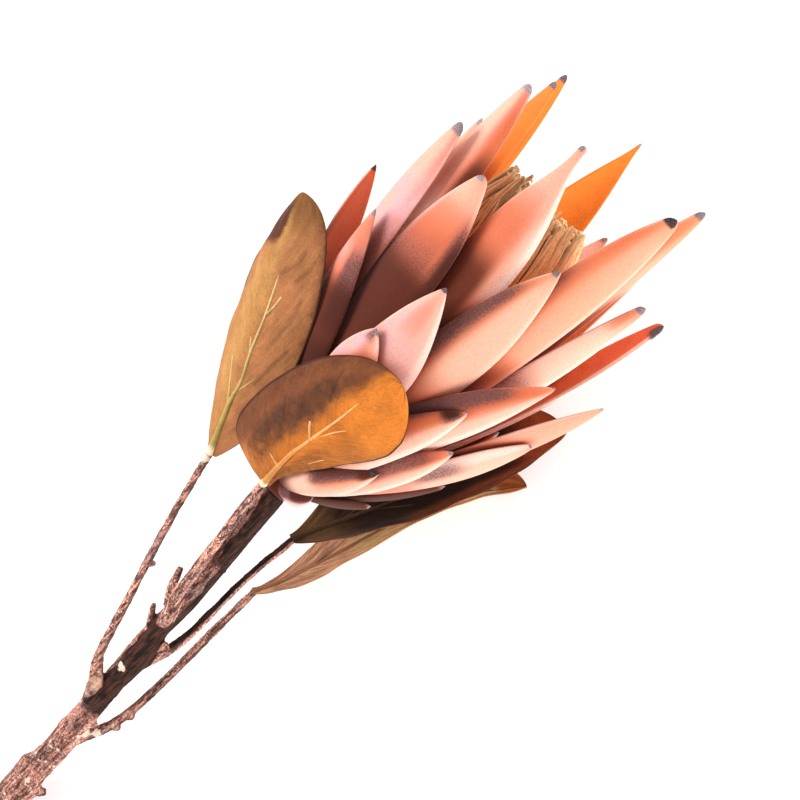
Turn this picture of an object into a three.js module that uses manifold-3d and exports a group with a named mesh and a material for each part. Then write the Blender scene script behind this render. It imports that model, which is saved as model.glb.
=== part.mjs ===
// King protea, cut and lying down: head, woody stem and four leaves. Millimetres, +Z up.
// +X runs from the cut end of the stem to the tips of the bracts.
import * as THREE from "three";
import Module from "manifold-3d";

const wasm = await Module();
wasm.setup();

// The head's frame: its base, and how its axis lies over the surface
const HEAD_BASE = [4.6, -0.8, 34.9];
const HEAD_TILT = 9;                  // degrees up from the surface
const HEAD_YAW = -1.6;                // degrees off +X, seen from above

// The bracts
const BRACT_THICK = 1.4;
const EDGE_SHARE = 0.5;               // edge thickness as a share of the middle's
const RING_STEP = 3.0;                // how far each inner ring's roots stand up the axis
const ROOT_R = 6.0;                   // radius of the outermost roots
const FLOOR_TRIM = 0.0;               // height at which the lowest backs are flattened

// The brush of florets
const BRUSH_R = 21.0;
const BRUSH_TOP = 131.5;
const BRUSH_LEAN = 5.0;               // how far the top leans to +Y
const STRAND_THICK = 2.6;
const STRANDS = 24;                   // strands in each ring

// The leaves
const BLADE_THICK = 0.9;
const MARGIN_THICK = 0.65;
const MIDRIB_R = 1.1;
const VEIN_R = 0.55;

const GAP = 0.3;                      // clearance between separately made pieces

const rad = (d) => (d * Math.PI) / 180;
const add = (a, b) => [a[0] + b[0], a[1] + b[1], a[2] + b[2]];
const sub = (a, b) => [a[0] - b[0], a[1] - b[1], a[2] - b[2]];
const mul = (a, k) => [a[0] * k, a[1] * k, a[2] * k];
const dot = (a, b) => a[0] * b[0] + a[1] * b[1] + a[2] * b[2];
const cross = (a, b) => [a[1] * b[2] - a[2] * b[1], a[2] * b[0] - a[0] * b[2], a[0] * b[1] - a[1] * b[0]];
const unit = (a) => mul(a, 1 / Math.hypot(...a));
const mix = (a, b, t) => a + (b - a) * t;

// The head's axis, and the two directions across it: upwards and to +Y
const ct = Math.cos(rad(HEAD_TILT));
const st = Math.sin(rad(HEAD_TILT));
const cy = Math.cos(rad(HEAD_YAW));
const sy = Math.sin(rad(HEAD_YAW));
const AXIS = [ct * cy, ct * sy, st];
const TOP = [-st * cy, -st * sy, ct];
const LEFT = cross(TOP, AXIS);

// Azimuth 0 faces up, +90 faces +Y, 180 faces the surface
const radial = (phi) => add(mul(TOP, Math.cos(phi)), mul(LEFT, Math.sin(phi)));
const headPoint = (x, r, phi) => add(HEAD_BASE, add(mul(AXIS, x), mul(radial(phi), r)));
const placed = (p) => add(HEAD_BASE, p);
const brushPoint = (x, r, phi) => {
  const lean = BRUSH_LEAN * Math.pow(Math.max(0, (x - 25) / 100), 2);
  return add(headPoint(x, r, phi), mul(LEFT, lean));
};

// Bracts in sight: tip along the axis, tip radius, tip azimuth, root azimuth, width,
// ring (0 outermost), bend (how soon the radius is reached), twist, place of the widest part,
// width of the tip as a share, how long the width is kept, how far the neck is drawn in
const BRACTS = [
  // inner long ones
  [158.4, 44, 14.3, -4, 20.2, 3.0, 2.8, 0, 0.56, 0.14, 4.0, 3.0],
  [163, 43.4, -39, -26, 21, 2.6, 2.6, 0, 0.6, 0.17, 3.0, 1.0],
  [170.5, 38, -58, -50, 20, 3.6, 2.6, 0, 0.6, 0.15, 2.8, 1.0],
  [167.4, 37, 181, 183, 19.4, 3.8, 2.8, 0, 0.5, 0.04, 3.4, 1.6],
  [165.5, 43.5, 128, 128, 20, 3.2, 2.6, 0, 0.6, 0.1, 2.4, 1.0],
  [162, 38, 114, 104, 20, 3.8, 2.6, -12, 0.6, 0.1, 2.4, 1.0],
  [158, 45.5, 58, 52, 22, 3.0, 2.6, 10, 0.6, 0.17, 2.4, 1.0],
  [138, 44.5, 70, 78, 16, 2.6, 2.6, 0, 0.6, 0.13, 2.4, 1.0],
  [133, 52, 60, 66, 20, 1.8, 2.4, 10, 0.6, 0.17, 2.4, 1.0],
  [130.5, 44, 148, 150, 14, 4.0, 2.8, 0, 0.6, 0.1, 2.4, 1.0],
  [136, 42, 203, 202, 14, 4.0, 2.8, 0, 0.6, 0.1, 2.4, 1.0],
  [134, 45, -68, -54, 15, 2.6, 1.8, -20, 0.6, 0.2, 2.2, 1.0],
  [132.5, 51, -94, -92, 19, 1.8, 1.6, 24, 0.6, 0.22, 2.4, 1.0],
  // middle ones
  [127.5, 47.5, 34, 29.5, 25, 2.0, 2.6, 0, 0.64, 0.13, 2.3, 1.0],
  [124.5, 46, -16.8, -12.5, 21, 1.8, 2.4, 0, 0.6, 0.04, 2.3, 1.0],
  [98.5, 57, 98, 98, 21.6, 1.0, 1.6, -24, 0.58, 0.03, 2.2, 1.0],
  [92.5, 52, 58, 38, 17, 0.8, 1.8, 10, 0.6, 0.03, 2.0, 1.0],
  [94, 49, 10, 2, 22, 1.0, 1.5, 0, 0.64, 0.03, 1.7, 1.0],
  [95, 50, -54, -12, 20, 1.6, 1.4, 0, 0.6, 0.05, 2.2, 1.0],
  [99.5, 57.5, -84, -70, 18, 1.0, 1.3, -25, 0.6, 0.04, 2.0, 1.0],
  // outer short ones
  [67.4, 45.5, 19, 10, 17.6, 0.0, 1.7, 0, 0.62, 0.03, 3.2, 1.0],
  [68.4, 43.5, -39, -22, 20, 0.2, 2.2, 0, 0.6, 0.05, 2.2, 1.0],
  [73.5, 51, -77, -62, 16, 0.6, 1.3, -20, 0.6, 0.15, 2.4, 1.0],
  [59, 45, -96, -92, 16, 0.3, 1.2, 0, 0.6, 0.1, 2.2, 1.0],
  [54.5, 39.5, -57, -36, 16.5, 0.1, 1.8, -10, 0.6, 0.08, 2.2, 1.0],
  [31.5, 31, -44, -26, 15.4, 0.0, 1.2, -22, 0.6, 0.05, 2.0, 1.0],
  [7, 13.6, -56, -6, 11, -0.6, 1.2, -20, 0.6, 0.3, 2.4, 1.0],
  [17.4, 27.3, -86, -86, 15, 0.0, 1.2, -10, 0.6, 0.15, 2.2, 1.0],
  [40, 40, -96, -96, 17, 0.3, 1.2, -10, 0.6, 0.15, 2.2, 1.0],
  // the two lowest ones, whose backs rest on the surface
  [96, 52, 167, 168, 22, 1.0, 1.9, 0, 0.6, 0.15, 2.2, 1.0],
  [96, 52, 193, 192, 22, 1.0, 1.9, 0, 0.6, 0.15, 2.2, 1.0],
  // one more long one underneath
  [140, 40, 236, 238, 18, 3.0, 2.4, 0, 0.6, 0.15, 2.2, 1.0],
];

// Rings of bracts on the side that faces the surface:
// tip along the axis, tip radius, width, ring, bend, azimuths
const UNDER_RINGS = [
  [45, 37, 17, 0.1, 1.3, [120, 148, 180, 208, 240]],
  [66, 42, 18, 0.6, 1.5, [106, 134, 163, 194, 222, 250]],
  [92, 48, 19, 1.2, 1.7, [126, 146, 216, 238]],
  [119, 44, 18, 2.1, 2.2, [140, 158, 180, 200, 228, 248]],
];
const VARIATION_SEED = 7;

let draw = VARIATION_SEED;
function random() {
  draw = (draw * 16807) % 2147483647;
  return draw / 2147483647;
}

function underBracts() {
  const rows = [];
  for (const [x, r, width, ring, bend, azimuths] of UNDER_RINGS) {
    for (const phi of azimuths) {
      const dx = (random() - 0.5) * 0.1 * x;
      const dr = (random() - 0.6) * 3;
      const dphi = (random() - 0.5) * 6;
      rows.push([x + dx, r + dr, phi + dphi, phi, width, ring, bend, 0, 0.6, 0.15, 2.2, 1.0]);
    }
  }
  return rows;
}

// A closed solid whose faces point outwards, whichever way its rings ran
function solid(points, triangles) {
  const make = (faces) => new wasm.Manifold(new wasm.Mesh({
    numProp: 3,
    vertProperties: new Float32Array(points.flat()),
    triVerts: new Uint32Array(faces.flat()),
  }));
  const body = make(triangles);
  return body.volume() > 0 ? body : make(triangles.map(([a, b, c]) => [a, c, b]));
}

// A closed skin over rings of points, with flat ends
function skin(rings) {
  const m = rings[0].length;
  const points = rings.flat();
  const tris = [];
  for (let i = 0; i + 1 < rings.length; i++) {
    for (let j = 0; j < m; j++) {
      const a = i * m + j;
      const b = i * m + ((j + 1) % m);
      tris.push([a, b, b + m], [a, b + m, a + m]);
    }
  }
  const last = (rings.length - 1) * m;
  for (let j = 1; j + 1 < m; j++) {
    tris.push([0, j + 1, j], [last, last + j, last + j + 1]);
  }
  return solid(points, tris);
}

// A blade between an upper and a lower grid, both split into triangles alike
function blade(upper, lower) {
  const n = upper.length;
  const m = upper[0].length;
  const points = [...upper.flat(), ...lower.flat()];
  const below = n * m;
  const tris = [];
  const quad = (a, b, c, d) => tris.push([a, b, c], [a, c, d]);
  for (let i = 0; i + 1 < n; i++) {
    for (let j = 0; j + 1 < m; j++) {
      const a = i * m + j;
      quad(a, a + 1, a + m + 1, a + m);
      tris.push([below + a, below + a + m + 1, below + a + 1]);
      tris.push([below + a, below + a + m, below + a + m + 1]);
    }
    const a = i * m;
    const b = i * m + m - 1;
    quad(a, a + m, below + a + m, below + a);
    quad(b, below + b, below + b + m, b + m);
  }
  for (let j = 0; j + 1 < m; j++) {
    const a = (n - 1) * m + j;
    quad(j, below + j, below + j + 1, j + 1);
    quad(a, a + 1, below + a + 1, below + a);
  }
  return solid(points, tris);
}

// Half width of a bract along its length, as a share of the widest place
function bractWidth(s, widest, nose, blunt, neck) {
  if (s < widest) return 1 - 0.45 * Math.pow(1 - s / widest, 1.8);
  const q = (s - widest) / (1 - widest);
  return nose + (1 - nose) * Math.pow(1 - Math.pow(q, blunt), neck);
}

function bract(row, rows) {
  const [tipX, tipR, tipPhi, rootPhi, width, ring, bend, twist, widest, nose, blunt, neck] = row;
  const rootX = tipX < 12 ? -1 : 1 + RING_STEP * ring;
  const rootR = ROOT_R + 0.6 * ring;
  const at = (t) => {
    const r = mix(rootR, tipR, (1 - Math.exp(-bend * t)) / (1 - Math.exp(-bend)));
    return headPoint(mix(rootX, tipX, t), r, rad(mix(rootPhi, tipPhi, t)));
  };
  const fine = 120;
  const along = [0];
  for (let i = 1; i <= fine; i++) {
    along.push(along[i - 1] + Math.hypot(...sub(at(i / fine), at((i - 1) / fine))));
  }
  const place = (s) => {
    const want = s * along[fine];
    let k = 0;
    while (k < fine - 1 && along[k + 1] < want) k++;
    return (k + (want - along[k]) / (along[k + 1] - along[k])) / fine;
  };
  const upper = [];
  const lower = [];
  for (let i = 0; i <= rows; i++) {
    const s = 1 - Math.pow(1 - i / rows, 1.45);
    const t = place(s);
    const p = at(t);
    const tangent = unit(sub(at(t + 0.004), at(t - 0.004)));
    const out = radial(rad(mix(rootPhi, tipPhi, t)));
    const flat = unit(sub(out, mul(tangent, dot(out, tangent))));
    const across = cross(tangent, flat);
    const turn = rad(twist) * s;
    const normal = add(mul(flat, Math.cos(turn)), mul(across, Math.sin(turn)));
    const side = sub(mul(across, Math.cos(turn)), mul(flat, Math.sin(turn)));
    const end = i === rows ? 0.6 : 1;
    const half = Math.max(0.8, (width / 2) * bractWidth(s, widest, nose, blunt, neck) * end);
    const cup = rad(30);
    const R = half / Math.sin(cup);
    const thick = Math.max(0.8, BRACT_THICK * Math.min(1, 0.4 + half / 5));
    const up = [];
    const down = [];
    for (const v of [-1, -0.38, 0.38, 1]) {
      const ang = cup * v;
      const c = add(p, sub(mul(side, R * Math.sin(ang)), mul(normal, R * (1 - Math.cos(ang)))));
      const n = add(mul(normal, Math.cos(ang)), mul(side, Math.sin(ang)));
      const h = Math.max(0.6, thick * (1 - (1 - EDGE_SHARE) * v * v)) / 2;
      up.push(add(c, mul(n, h)));
      down.push(sub(c, mul(n, h)));
    }
    upper.push(up);
    lower.push(down);
  }
  return blade(upper, lower);
}

// A body turned about the head's axis from rows of [x, radius]
function turned(rows, sides, point = headPoint) {
  const rings = rows.map(([x, r]) => {
    const ring = [];
    for (let j = 0; j < sides; j++) ring.push(point(x, r, (-2 * Math.PI * j) / sides));
    return ring;
  });
  return skin(rings);
}

function curve(rows, count) {
  const first = rows[0].map((v, k) => 2 * v - rows[1][k]);
  const n = rows.length;
  const last = rows[n - 1].map((v, k) => 2 * v - rows[n - 2][k]);
  const P = [first, ...rows, last];
  const out = [];
  for (let i = 0; i <= count; i++) {
    const t = (i / count) * (n - 1);
    const k = Math.min(Math.floor(t), n - 2);
    const u = t - k;
    out.push(rows[0].map((_, c) => {
      const [a, b, d, e] = [P[k][c], P[k + 1][c], P[k + 2][c], P[k + 3][c]];
      const cubic = (3 * b - a - 3 * d + e) * u * u * u;
      return 0.5 * (2 * b + (d - a) * u + (2 * a - 5 * b + 4 * d - e) * u * u + cubic);
    }));
  }
  return out;
}

// A branch along rows of [x, y, z, radius]; rough is the bark's unevenness
function branch(rows, count, sides, rough = 0, endTangent = null) {
  const line = curve(rows, count).map((p) => [...placed(p.slice(0, 3)), p[3]]);
  const rings = [];
  for (let i = 0; i < line.length; i++) {
    const a = line[Math.max(i - 1, 0)];
    const b = line[Math.min(i + 1, line.length - 1)];
    let tangent = unit(sub(b.slice(0, 3), a.slice(0, 3)));
    if (endTangent && i === line.length - 1) tangent = endTangent;
    const side = unit(cross(tangent, [0, 0, 1]));
    const up = cross(side, tangent);
    const ring = [];
    for (let j = 0; j < sides; j++) {
      const th = (2 * Math.PI * j) / sides;
      const bump = 1 + rough * Math.sin(3.1 * th + 1.7 * i) * Math.cos(2.3 * i + j);
      const r = line[i][3] * bump;
      ring.push(add(line[i].slice(0, 3), add(mul(side, r * Math.cos(th)), mul(up, r * Math.sin(th)))));
    }
    rings.push(ring);
  }
  return skin(rings);
}

// Keep the one real body of a fused piece: sealed hollows are filled and scraps dropped
function oneBody(pieces) {
  let whole = pieces[0];
  for (const p of pieces.slice(1)) whole = whole.add(p);
  let best = null;
  for (const body of whole.decompose()) {
    if (!best || body.volume() > best.volume()) best = body;
  }
  return best;
}

function box(x0, x1, y0, y1, z0, z1) {
  const ring = (z) => [[x0, y0, z], [x1, y0, z], [x1, y1, z], [x0, y1, z]];
  return skin([ring(z0), ring(z1)]);
}
const belowFloor = box(-400, 400, -300, 300, -100, FLOOR_TRIM);

// Stem, petioles and stubs, as rows of [x, y, z, radius] from the head's base
const STEM = [
  [-178, -20, -29.2, 6.2],
  [-164, -14.6, -28.6, 5.6],
  [-150, -11, -27.2, 5.5],
  [-141, -10.6, -26.2, 6.1],
  [-134.5, -9.6, -25.2, 5.8],
  [-128, -10, -24, 4.9],
  [-119, -9.7, -22.4, 4.8],
  [-109, -8.8, -20.4, 4.5],
  [-100, -8.2, -18.8, 4.4],
  [-89.5, -7.5, -17, 4.1],
  [-78, -7.2, -14.8, 4.8],
  [-66, -5.8, -12.6, 3.9],
  [-52, -5.6, -9.8, 4.0],
  [-35, -3.6, -6.4, 4.6],
  [-18, -1.8, -3.2, 4.9],
  [-4, -0.2, -0.8, 5.4],
];
const PETIOLE_LEFT = [
  [-102, -7, -18.6, 3.2],
  [-95.4, -3.6, -15, 2.9],
  [-90, 0.8, -13.6, 2.1],
  [-83.6, 3.8, -12, 1.7],
  [-66.4, 8.8, -7.6, 1.5],
  [-49, 14.1, -3, 1.45],
  [-31, 19.1, 1, 1.4],
  [-11, 24.6, 5, 1.35],
];
const PETIOLE_RIGHT = [
  [-82, -8.6, -15.4, 3.0],
  [-74.6, -11.4, -15.6, 2.6],
  [-68, -14, -17, 1.9],
  [-57, -15, -17.6, 1.55],
  [-36, -15, -16.4, 1.4],
  [-24, -15.7, -15, 1.4],
  [-13, -16.8, -14, 1.3],
];
const PETIOLE_UNDER = [
  [-119, -9.8, -22.4, 3.2],
  [-112.5, -13.4, -23, 2.5],
  [-104, -17.6, -24, 1.8],
  [-90, -19.8, -25, 1.6],
  [-67, -20.2, -25, 1.6],
  [-50, -20.1, -24.8, 1.45],
  [-36, -20.8, -24, 1.35],
];
const PETIOLE_FRONT = [
  [-66, -7, -11, 2.2],
  [-60.6, -5, -7.6, 2.4],
  [-52, -2.2, -4.8, 2.0],
  [-40, -0.4, -1.6, 1.9],
  [-26, 1.4, 2.2, 1.7],
  [-13, 3.2, 5.4, 1.6],
  [-5.4, 4.2, 7.6, 1.5],
];
// Broken side shoots and thorns
const STUBS = [
  [[-58, -2.8, -9, 2.1], [-53, 0.8, -7, 1.7], [-45.4, 3.8, -5, 1.2]],
  [[-67.5, -3, -11.6, 1.6], [-64, -0.4, -10.4, 1.2], [-61, 1.4, -9, 0.9]],
  [[-76, -9, -14, 2.2], [-71, -11, -12.8, 1.9], [-68.2, -12.4, -12, 1.7]],
  [[-134, -9, -25.4, 2.6], [-132.8, -6, -24.8, 2.3], [-133.4, -3.8, -24.4, 1.6]],
  [[-140.5, -13, -26, 2.4], [-138, -16.4, -26, 1.8], [-136, -18.2, -26, 1.3]],
  [[-110, -11, -20, 1.7], [-107.2, -13, -19.6, 1.2], [-106, -14.6, -19.4, 0.8]],
  [[-36.4, -5.5, -6, 1.7], [-36, -7.2, -5.6, 1.2], [-35.2, -8.2, -5.2, 0.9]],
  [[-52.4, 13, -4.4, 1.4], [-51.4, 11.6, -4.6, 1.1], [-50.6, 10.8, -4.6, 0.9]],
];

// Leaves: midrib points from the head's base; roll of the blade about its midrib at base and tip;
// half widths; how far each half is rolled; the widest place of each half; bluntness towards the tip
// and fullness towards the base (small is full)
const LEAVES = {
  leaf_left: {
    points: [[-10, 24, 5], [8, 31.5, 12], [30, 41.8, 25], [56, 54.4, 30.8], [75.4, 63.6, 23]],
    roll: [34, 36], left: 22.5, right: 19.8, curlLeft: 62, curlRight: 28,
    widestLeft: 0.42, widestRight: 0.6, bluntLeft: 2.2, bluntRight: 1.6, baseLeft: 1.2, baseRight: 0.9,
  },
  leaf_front: {
    points: [[-3.8, 3.9, 8.8], [5, 4.2, 24], [18, 3.1, 37], [30, 1.2, 47], [42, -2, 54.5], [53, -6, 59]],
    roll: [0, 0], left: 24, right: 20, curlLeft: 26, curlRight: 35,
    widestLeft: 0.3, widestRight: 0.66, bluntLeft: 2.3, bluntRight: 2.6, baseLeft: 0.36, baseRight: 2.5,
  },
  leaf_right: {
    points: [[-12, -17, -14], [8, -26, -20], [33, -37.5, -24], [58.5, -47.5, -23.5], [82.5, -57.5, -18]],
    roll: [35, 30], left: 20, right: 18, curlLeft: -20, curlRight: -60,
    widestLeft: 0.5, widestRight: 0.5, bluntLeft: 3.4, bluntRight: 2.6, baseLeft: 1.6, baseRight: 0.75,
  },
  leaf_under: {
    points: [
      [-35, -20.4, -24],
      [-20, -27, -23],
      [0, -33, -24],
      [25, -41, -26],
      [45, -51, -27],
      [59, -62, -26],
    ],
    roll: [60, 25], left: 12, right: 7, curlLeft: -45, curlRight: -10,
    widestLeft: 0.6, widestRight: 0.3, bluntLeft: 3.2, bluntRight: 0.8, baseLeft: 1.8, baseRight: 0.75,
  },
};

function leafWidth(s, widest, blunt, base) {
  if (s < widest) return 0.12 + 0.88 * Math.pow(1 - Math.pow(1 - s / widest, 2), base);
  return Math.pow(Math.max(0, 1 - Math.pow((s - widest) / (1 - widest), blunt)), 0.62);
}

// A place on a leaf: s along, v across (+1 left margin, -1 right margin)
function leafSurface(leaf) {
  const count = 60;
  const line = curve(leaf.points, count).map(placed);
  return (s, v) => {
    const k = Math.min(s, 1) * count;
    const i = Math.min(Math.floor(k), count - 1);
    const p = add(mul(line[i], 1 - (k - i)), mul(line[i + 1], k - i));
    const tangent = unit(sub(line[Math.min(i + 2, count)], line[Math.max(i - 1, 0)]));
    const up = unit(sub([0, 0, 1], mul(tangent, tangent[2])));
    const left = cross(up, tangent);
    const roll = rad(mix(leaf.roll[0], leaf.roll[1], s));
    const normal = add(mul(up, Math.cos(roll)), mul(left, Math.sin(roll)));
    const side = sub(mul(left, Math.cos(roll)), mul(up, Math.sin(roll)));
    const isLeft = v > 0;
    const share = isLeft
      ? leaf.left * leafWidth(s, leaf.widestLeft, leaf.bluntLeft, leaf.baseLeft)
      : leaf.right * leafWidth(s, leaf.widestRight, leaf.bluntRight, leaf.baseRight);
    const half = Math.max(0.7, share);
    const ang = rad(isLeft ? leaf.curlLeft : leaf.curlRight) * Math.abs(v);
    const w = half * Math.abs(v);
    const R = w / (ang || 1e-9);
    const sign = isLeft ? 1 : -1;
    const across = mul(side, sign * R * Math.sin(ang));
    const place = add(p, sub(across, mul(normal, R * (1 - Math.cos(ang)))));
    return { place, normal: add(mul(normal, Math.cos(ang)), mul(side, sign * Math.sin(ang))) };
  };
}

// A rib that stands out of both faces, along places [s, v] of a leaf
function rib(surface, places, radii) {
  const rings = places.map(([s, v], i) => {
    const { place, normal } = surface(s, v);
    const [s1, v1] = places[Math.min(i + 1, places.length - 1)];
    const [s0, v0] = places[Math.max(i - 1, 0)];
    const run = unit(sub(surface(s1, v1).place, surface(s0, v0).place));
    const up = unit(sub(normal, mul(run, dot(normal, run))));
    const side = cross(run, up);
    const r = radii[0] + ((radii[1] - radii[0]) * i) / (places.length - 1);
    return [0, 1, 2, 3].map((j) => {
      const th = (Math.PI / 2) * j;
      return add(place, add(mul(side, r * Math.cos(th)), mul(up, r * Math.sin(th))));
    });
  });
  return skin(rings);
}

function leafBody(leaf) {
  const surface = leafSurface(leaf);
  const upper = [];
  const lower = [];
  const rows = 10;
  for (let i = 0; i <= rows; i++) {
    const s = i / rows < 0.5 ? i / rows : 1 - 0.5 * Math.pow((1 - i / rows) / 0.5, 1.35);
    const up = [];
    const down = [];
    for (const v of [1, 0.62, 0.02, -0.62, -1]) {
      const { place, normal } = surface(s, v);
      const h = (Math.abs(v) === 1 ? MARGIN_THICK : BLADE_THICK) / 2;
      up.push(add(place, mul(normal, h)));
      down.push(sub(place, mul(normal, h)));
    }
    upper.push(up);
    lower.push(down);
  }
  const pieces = [blade(upper, lower)];
  const midrib = [0, 0.2, 0.4, 0.6, 0.86].map((s) => [s, 0.01]);
  pieces.push(rib(surface, midrib, [MIDRIB_R + 0.3, 0.7]));
  for (const [s, side, reach] of [[0.2, 1, 0.7], [0.32, -1, 0.65], [0.46, 1, 0.7]]) {
    const places = [0, 0.5, 1].map((t) => [s + 0.22 * t, side * (0.02 + reach * t)]);
    pieces.push(rib(surface, places, [VEIN_R + 0.25, VEIN_R]));
  }
  return oneBody(pieces);
}

// Florets: a core, with strands that stand out of it and curl over its top
const CORE = [
  [25.3, 8.0],
  [34, 11.5],
  [50, 15.5],
  [70, 18.0],
  [95, 19.2],
  [112, 18.2],
  [121, 14.5],
  [125.5, 8.5],
  [127, 2.0],
];

function coreRadius(x) {
  for (let i = 0; i + 1 < CORE.length; i++) {
    const [x0, r0] = CORE[i];
    const [x1, r1] = CORE[i + 1];
    if (x <= x1) return mix(r0, r1, Math.max(0, (x - x0) / (x1 - x0)));
  }
  return 0;
}

function strand(phi, places, thick) {
  const line = places.map(([x, r, turn]) => brushPoint(x, r, phi + turn));
  const rings = line.map((p, i) => {
    const tangent = unit(sub(line[Math.min(i + 1, line.length - 1)], line[Math.max(i - 1, 0)]));
    const out = radial(phi + places[i][2]);
    const side = unit(cross(tangent, out));
    const up = cross(side, tangent);
    const k = i === line.length - 1 ? 0.7 : 1;
    return [0, 1, 2, 3].map((j) => {
      const th = (Math.PI / 2) * j;
      const a = mul(side, thick * 0.5 * k * Math.cos(th));
      return add(p, add(a, mul(up, thick * 0.5 * k * Math.sin(th))));
    });
  });
  return skin(rings);
}

function floretBody() {
  const pieces = [turned(CORE, 16, brushPoint)];
  for (let j = 0; j < STRANDS; j++) {
    const phi = (2 * Math.PI * j) / STRANDS;
    const wob = 0.05 * Math.sin(5 * j);
    const top = BRUSH_TOP + 1.6 * Math.sin(2.7 * j);
    const outer = [
      [48, coreRadius(48) - 0.4, wob],
      [80, coreRadius(80) + 1.0, 0],
      [108, BRUSH_R + 0.4, -wob],
      [top - 5, BRUSH_R - 2.6, 0.5 * wob],
      [top, BRUSH_R - 8.2, wob],
    ];
    pieces.push(strand(phi, outer, STRAND_THICK));
    if (j % 3 === 0) {
      const inner = [
        [118, 13, 0],
        [126, 11.5, wob],
        [top + 2.6, 8.6, -wob],
        [top + 1.8, 4.2, wob],
      ];
      pieces.push(strand(phi + 0.1, inner, STRAND_THICK + 0.4));
    }
  }
  return oneBody(pieces);
}

function bractBody() {
  const receptacle = [
    [-4 + GAP, 5.6],
    [0, 7.2],
    [6, 10.2],
    [14, 12.4],
    [21, 11.6],
    [25.0, 8.6],
  ];
  const pieces = [turned(receptacle, 14)];
  for (const row of BRACTS) pieces.push(bract(row, row[0] > 100 ? 6 : 5));
  for (const row of underBracts()) pieces.push(bract(row, row[0] > 100 ? 5 : 4));
  return oneBody(pieces).subtract(belowFloor);
}

function stemBody() {
  const pieces = [branch(STEM, 30, 10, 0.05, AXIS)];
  pieces.push(branch(PETIOLE_LEFT, 10, 6, 0.06));
  pieces.push(branch(PETIOLE_RIGHT, 9, 6, 0.06));
  pieces.push(branch(PETIOLE_UNDER, 9, 6, 0.06));
  pieces.push(branch(PETIOLE_FRONT, 8, 6, 0.06));
  for (const rows of STUBS) pieces.push(branch(rows, 3, 6));
  return oneBody(pieces).subtract(belowFloor);
}

function mesh(name, body, colour) {
  const data = body.getMesh();
  const geometry = new THREE.BufferGeometry();
  const positions = new Float32Array(data.numVert * 3);
  for (let i = 0; i < data.numVert; i++) {
    for (let k = 0; k < 3; k++) positions[3 * i + k] = data.vertProperties[i * data.numProp + k];
  }
  geometry.setAttribute("position", new THREE.BufferAttribute(positions, 3));
  geometry.setIndex(new THREE.BufferAttribute(new Uint32Array(data.triVerts), 1));
  geometry.computeVertexNormals();
  const node = new THREE.Mesh(geometry, new THREE.MeshStandardMaterial({ color: colour, roughness: 0.85 }));
  node.name = name;
  return node;
}

const protea = new THREE.Group();
protea.name = "king_protea";
protea.add(mesh("stem", stemBody(), 0x8a5f4e));
protea.add(mesh("bracts", bractBody(), 0xe8a890));
protea.add(mesh("florets", floretBody(), 0xb8864e));
protea.add(mesh("leaf_left", leafBody(LEAVES.leaf_left), 0x8f6a35));
protea.add(mesh("leaf_front", leafBody(LEAVES.leaf_front), 0xa8682c));
protea.add(mesh("leaf_right", leafBody(LEAVES.leaf_right), 0x4f3426));
protea.add(mesh("leaf_under", leafBody(LEAVES.leaf_under), 0xb8864a));

export default protea;
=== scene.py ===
import math

import bpy
import numpy as np
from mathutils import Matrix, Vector, noise
from mathutils.bvhtree import BVHTree


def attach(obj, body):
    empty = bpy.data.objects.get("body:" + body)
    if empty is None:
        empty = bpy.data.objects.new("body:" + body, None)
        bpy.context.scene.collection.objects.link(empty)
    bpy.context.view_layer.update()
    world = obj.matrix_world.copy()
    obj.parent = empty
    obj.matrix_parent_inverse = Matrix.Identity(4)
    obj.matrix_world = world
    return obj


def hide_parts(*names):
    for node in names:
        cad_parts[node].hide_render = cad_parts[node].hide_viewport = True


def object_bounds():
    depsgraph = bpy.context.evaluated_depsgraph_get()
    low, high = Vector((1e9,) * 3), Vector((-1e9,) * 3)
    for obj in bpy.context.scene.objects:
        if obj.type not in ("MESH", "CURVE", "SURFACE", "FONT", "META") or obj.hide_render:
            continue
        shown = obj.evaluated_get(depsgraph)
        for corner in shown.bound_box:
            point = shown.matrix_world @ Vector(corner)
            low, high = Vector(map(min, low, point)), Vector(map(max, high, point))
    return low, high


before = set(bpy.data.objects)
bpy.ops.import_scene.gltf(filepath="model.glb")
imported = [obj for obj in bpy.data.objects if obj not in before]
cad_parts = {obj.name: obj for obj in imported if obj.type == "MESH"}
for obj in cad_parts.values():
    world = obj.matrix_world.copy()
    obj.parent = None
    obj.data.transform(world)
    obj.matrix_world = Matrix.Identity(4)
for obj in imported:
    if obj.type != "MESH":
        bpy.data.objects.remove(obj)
cad_low, cad_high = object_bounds()

# Shapes are worked out in millimetres, in the part's frame, and meshes are made in metres
MM = 0.001

# The head stands on the stem at its base, and its axis is tilted up and turned a little
HEAD_BASE = np.array([4.6, -0.8, 34.9])
HEAD_TILT = math.radians(9)
HEAD_YAW = math.radians(-1.6)
ct, st = math.cos(HEAD_TILT), math.sin(HEAD_TILT)
cy, sy = math.cos(HEAD_YAW), math.sin(HEAD_YAW)
AXIS = np.array([ct * cy, ct * sy, st])
TOP = np.array([-st * cy, -st * sy, ct])
LEFT = np.cross(TOP, AXIS)

# Bracts: thickness, way between the rings they grow from, radius at their roots, and how far each side of
# a bract is rolled
BRACT_THICK = 1.5
RING_STEP = 3.0
ROOT_R = 6.0
CUP = math.radians(30)

# The brush of florets: its radius, its height along the axis, and how far it leans to +Y
BRUSH_R = 21.0
BRUSH_TOP = 131.5
BRUSH_LEAN = 5.0

rng = np.random.default_rng(11)


# Small helpers

def unit(a):
    return a / np.maximum(np.linalg.norm(a, axis=-1, keepdims=True), 1e-12)


def step(x, low, high):
    t = np.clip((x - low) / (high - low), 0, 1)
    return t * t * (3 - 2 * t)


def band(x, low, high, soft):
    return step(x, low - soft, low + soft) * (1 - step(x, high - soft, high + soft))


def bell(x, width):
    return np.exp(-(x / width) ** 2)


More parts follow.
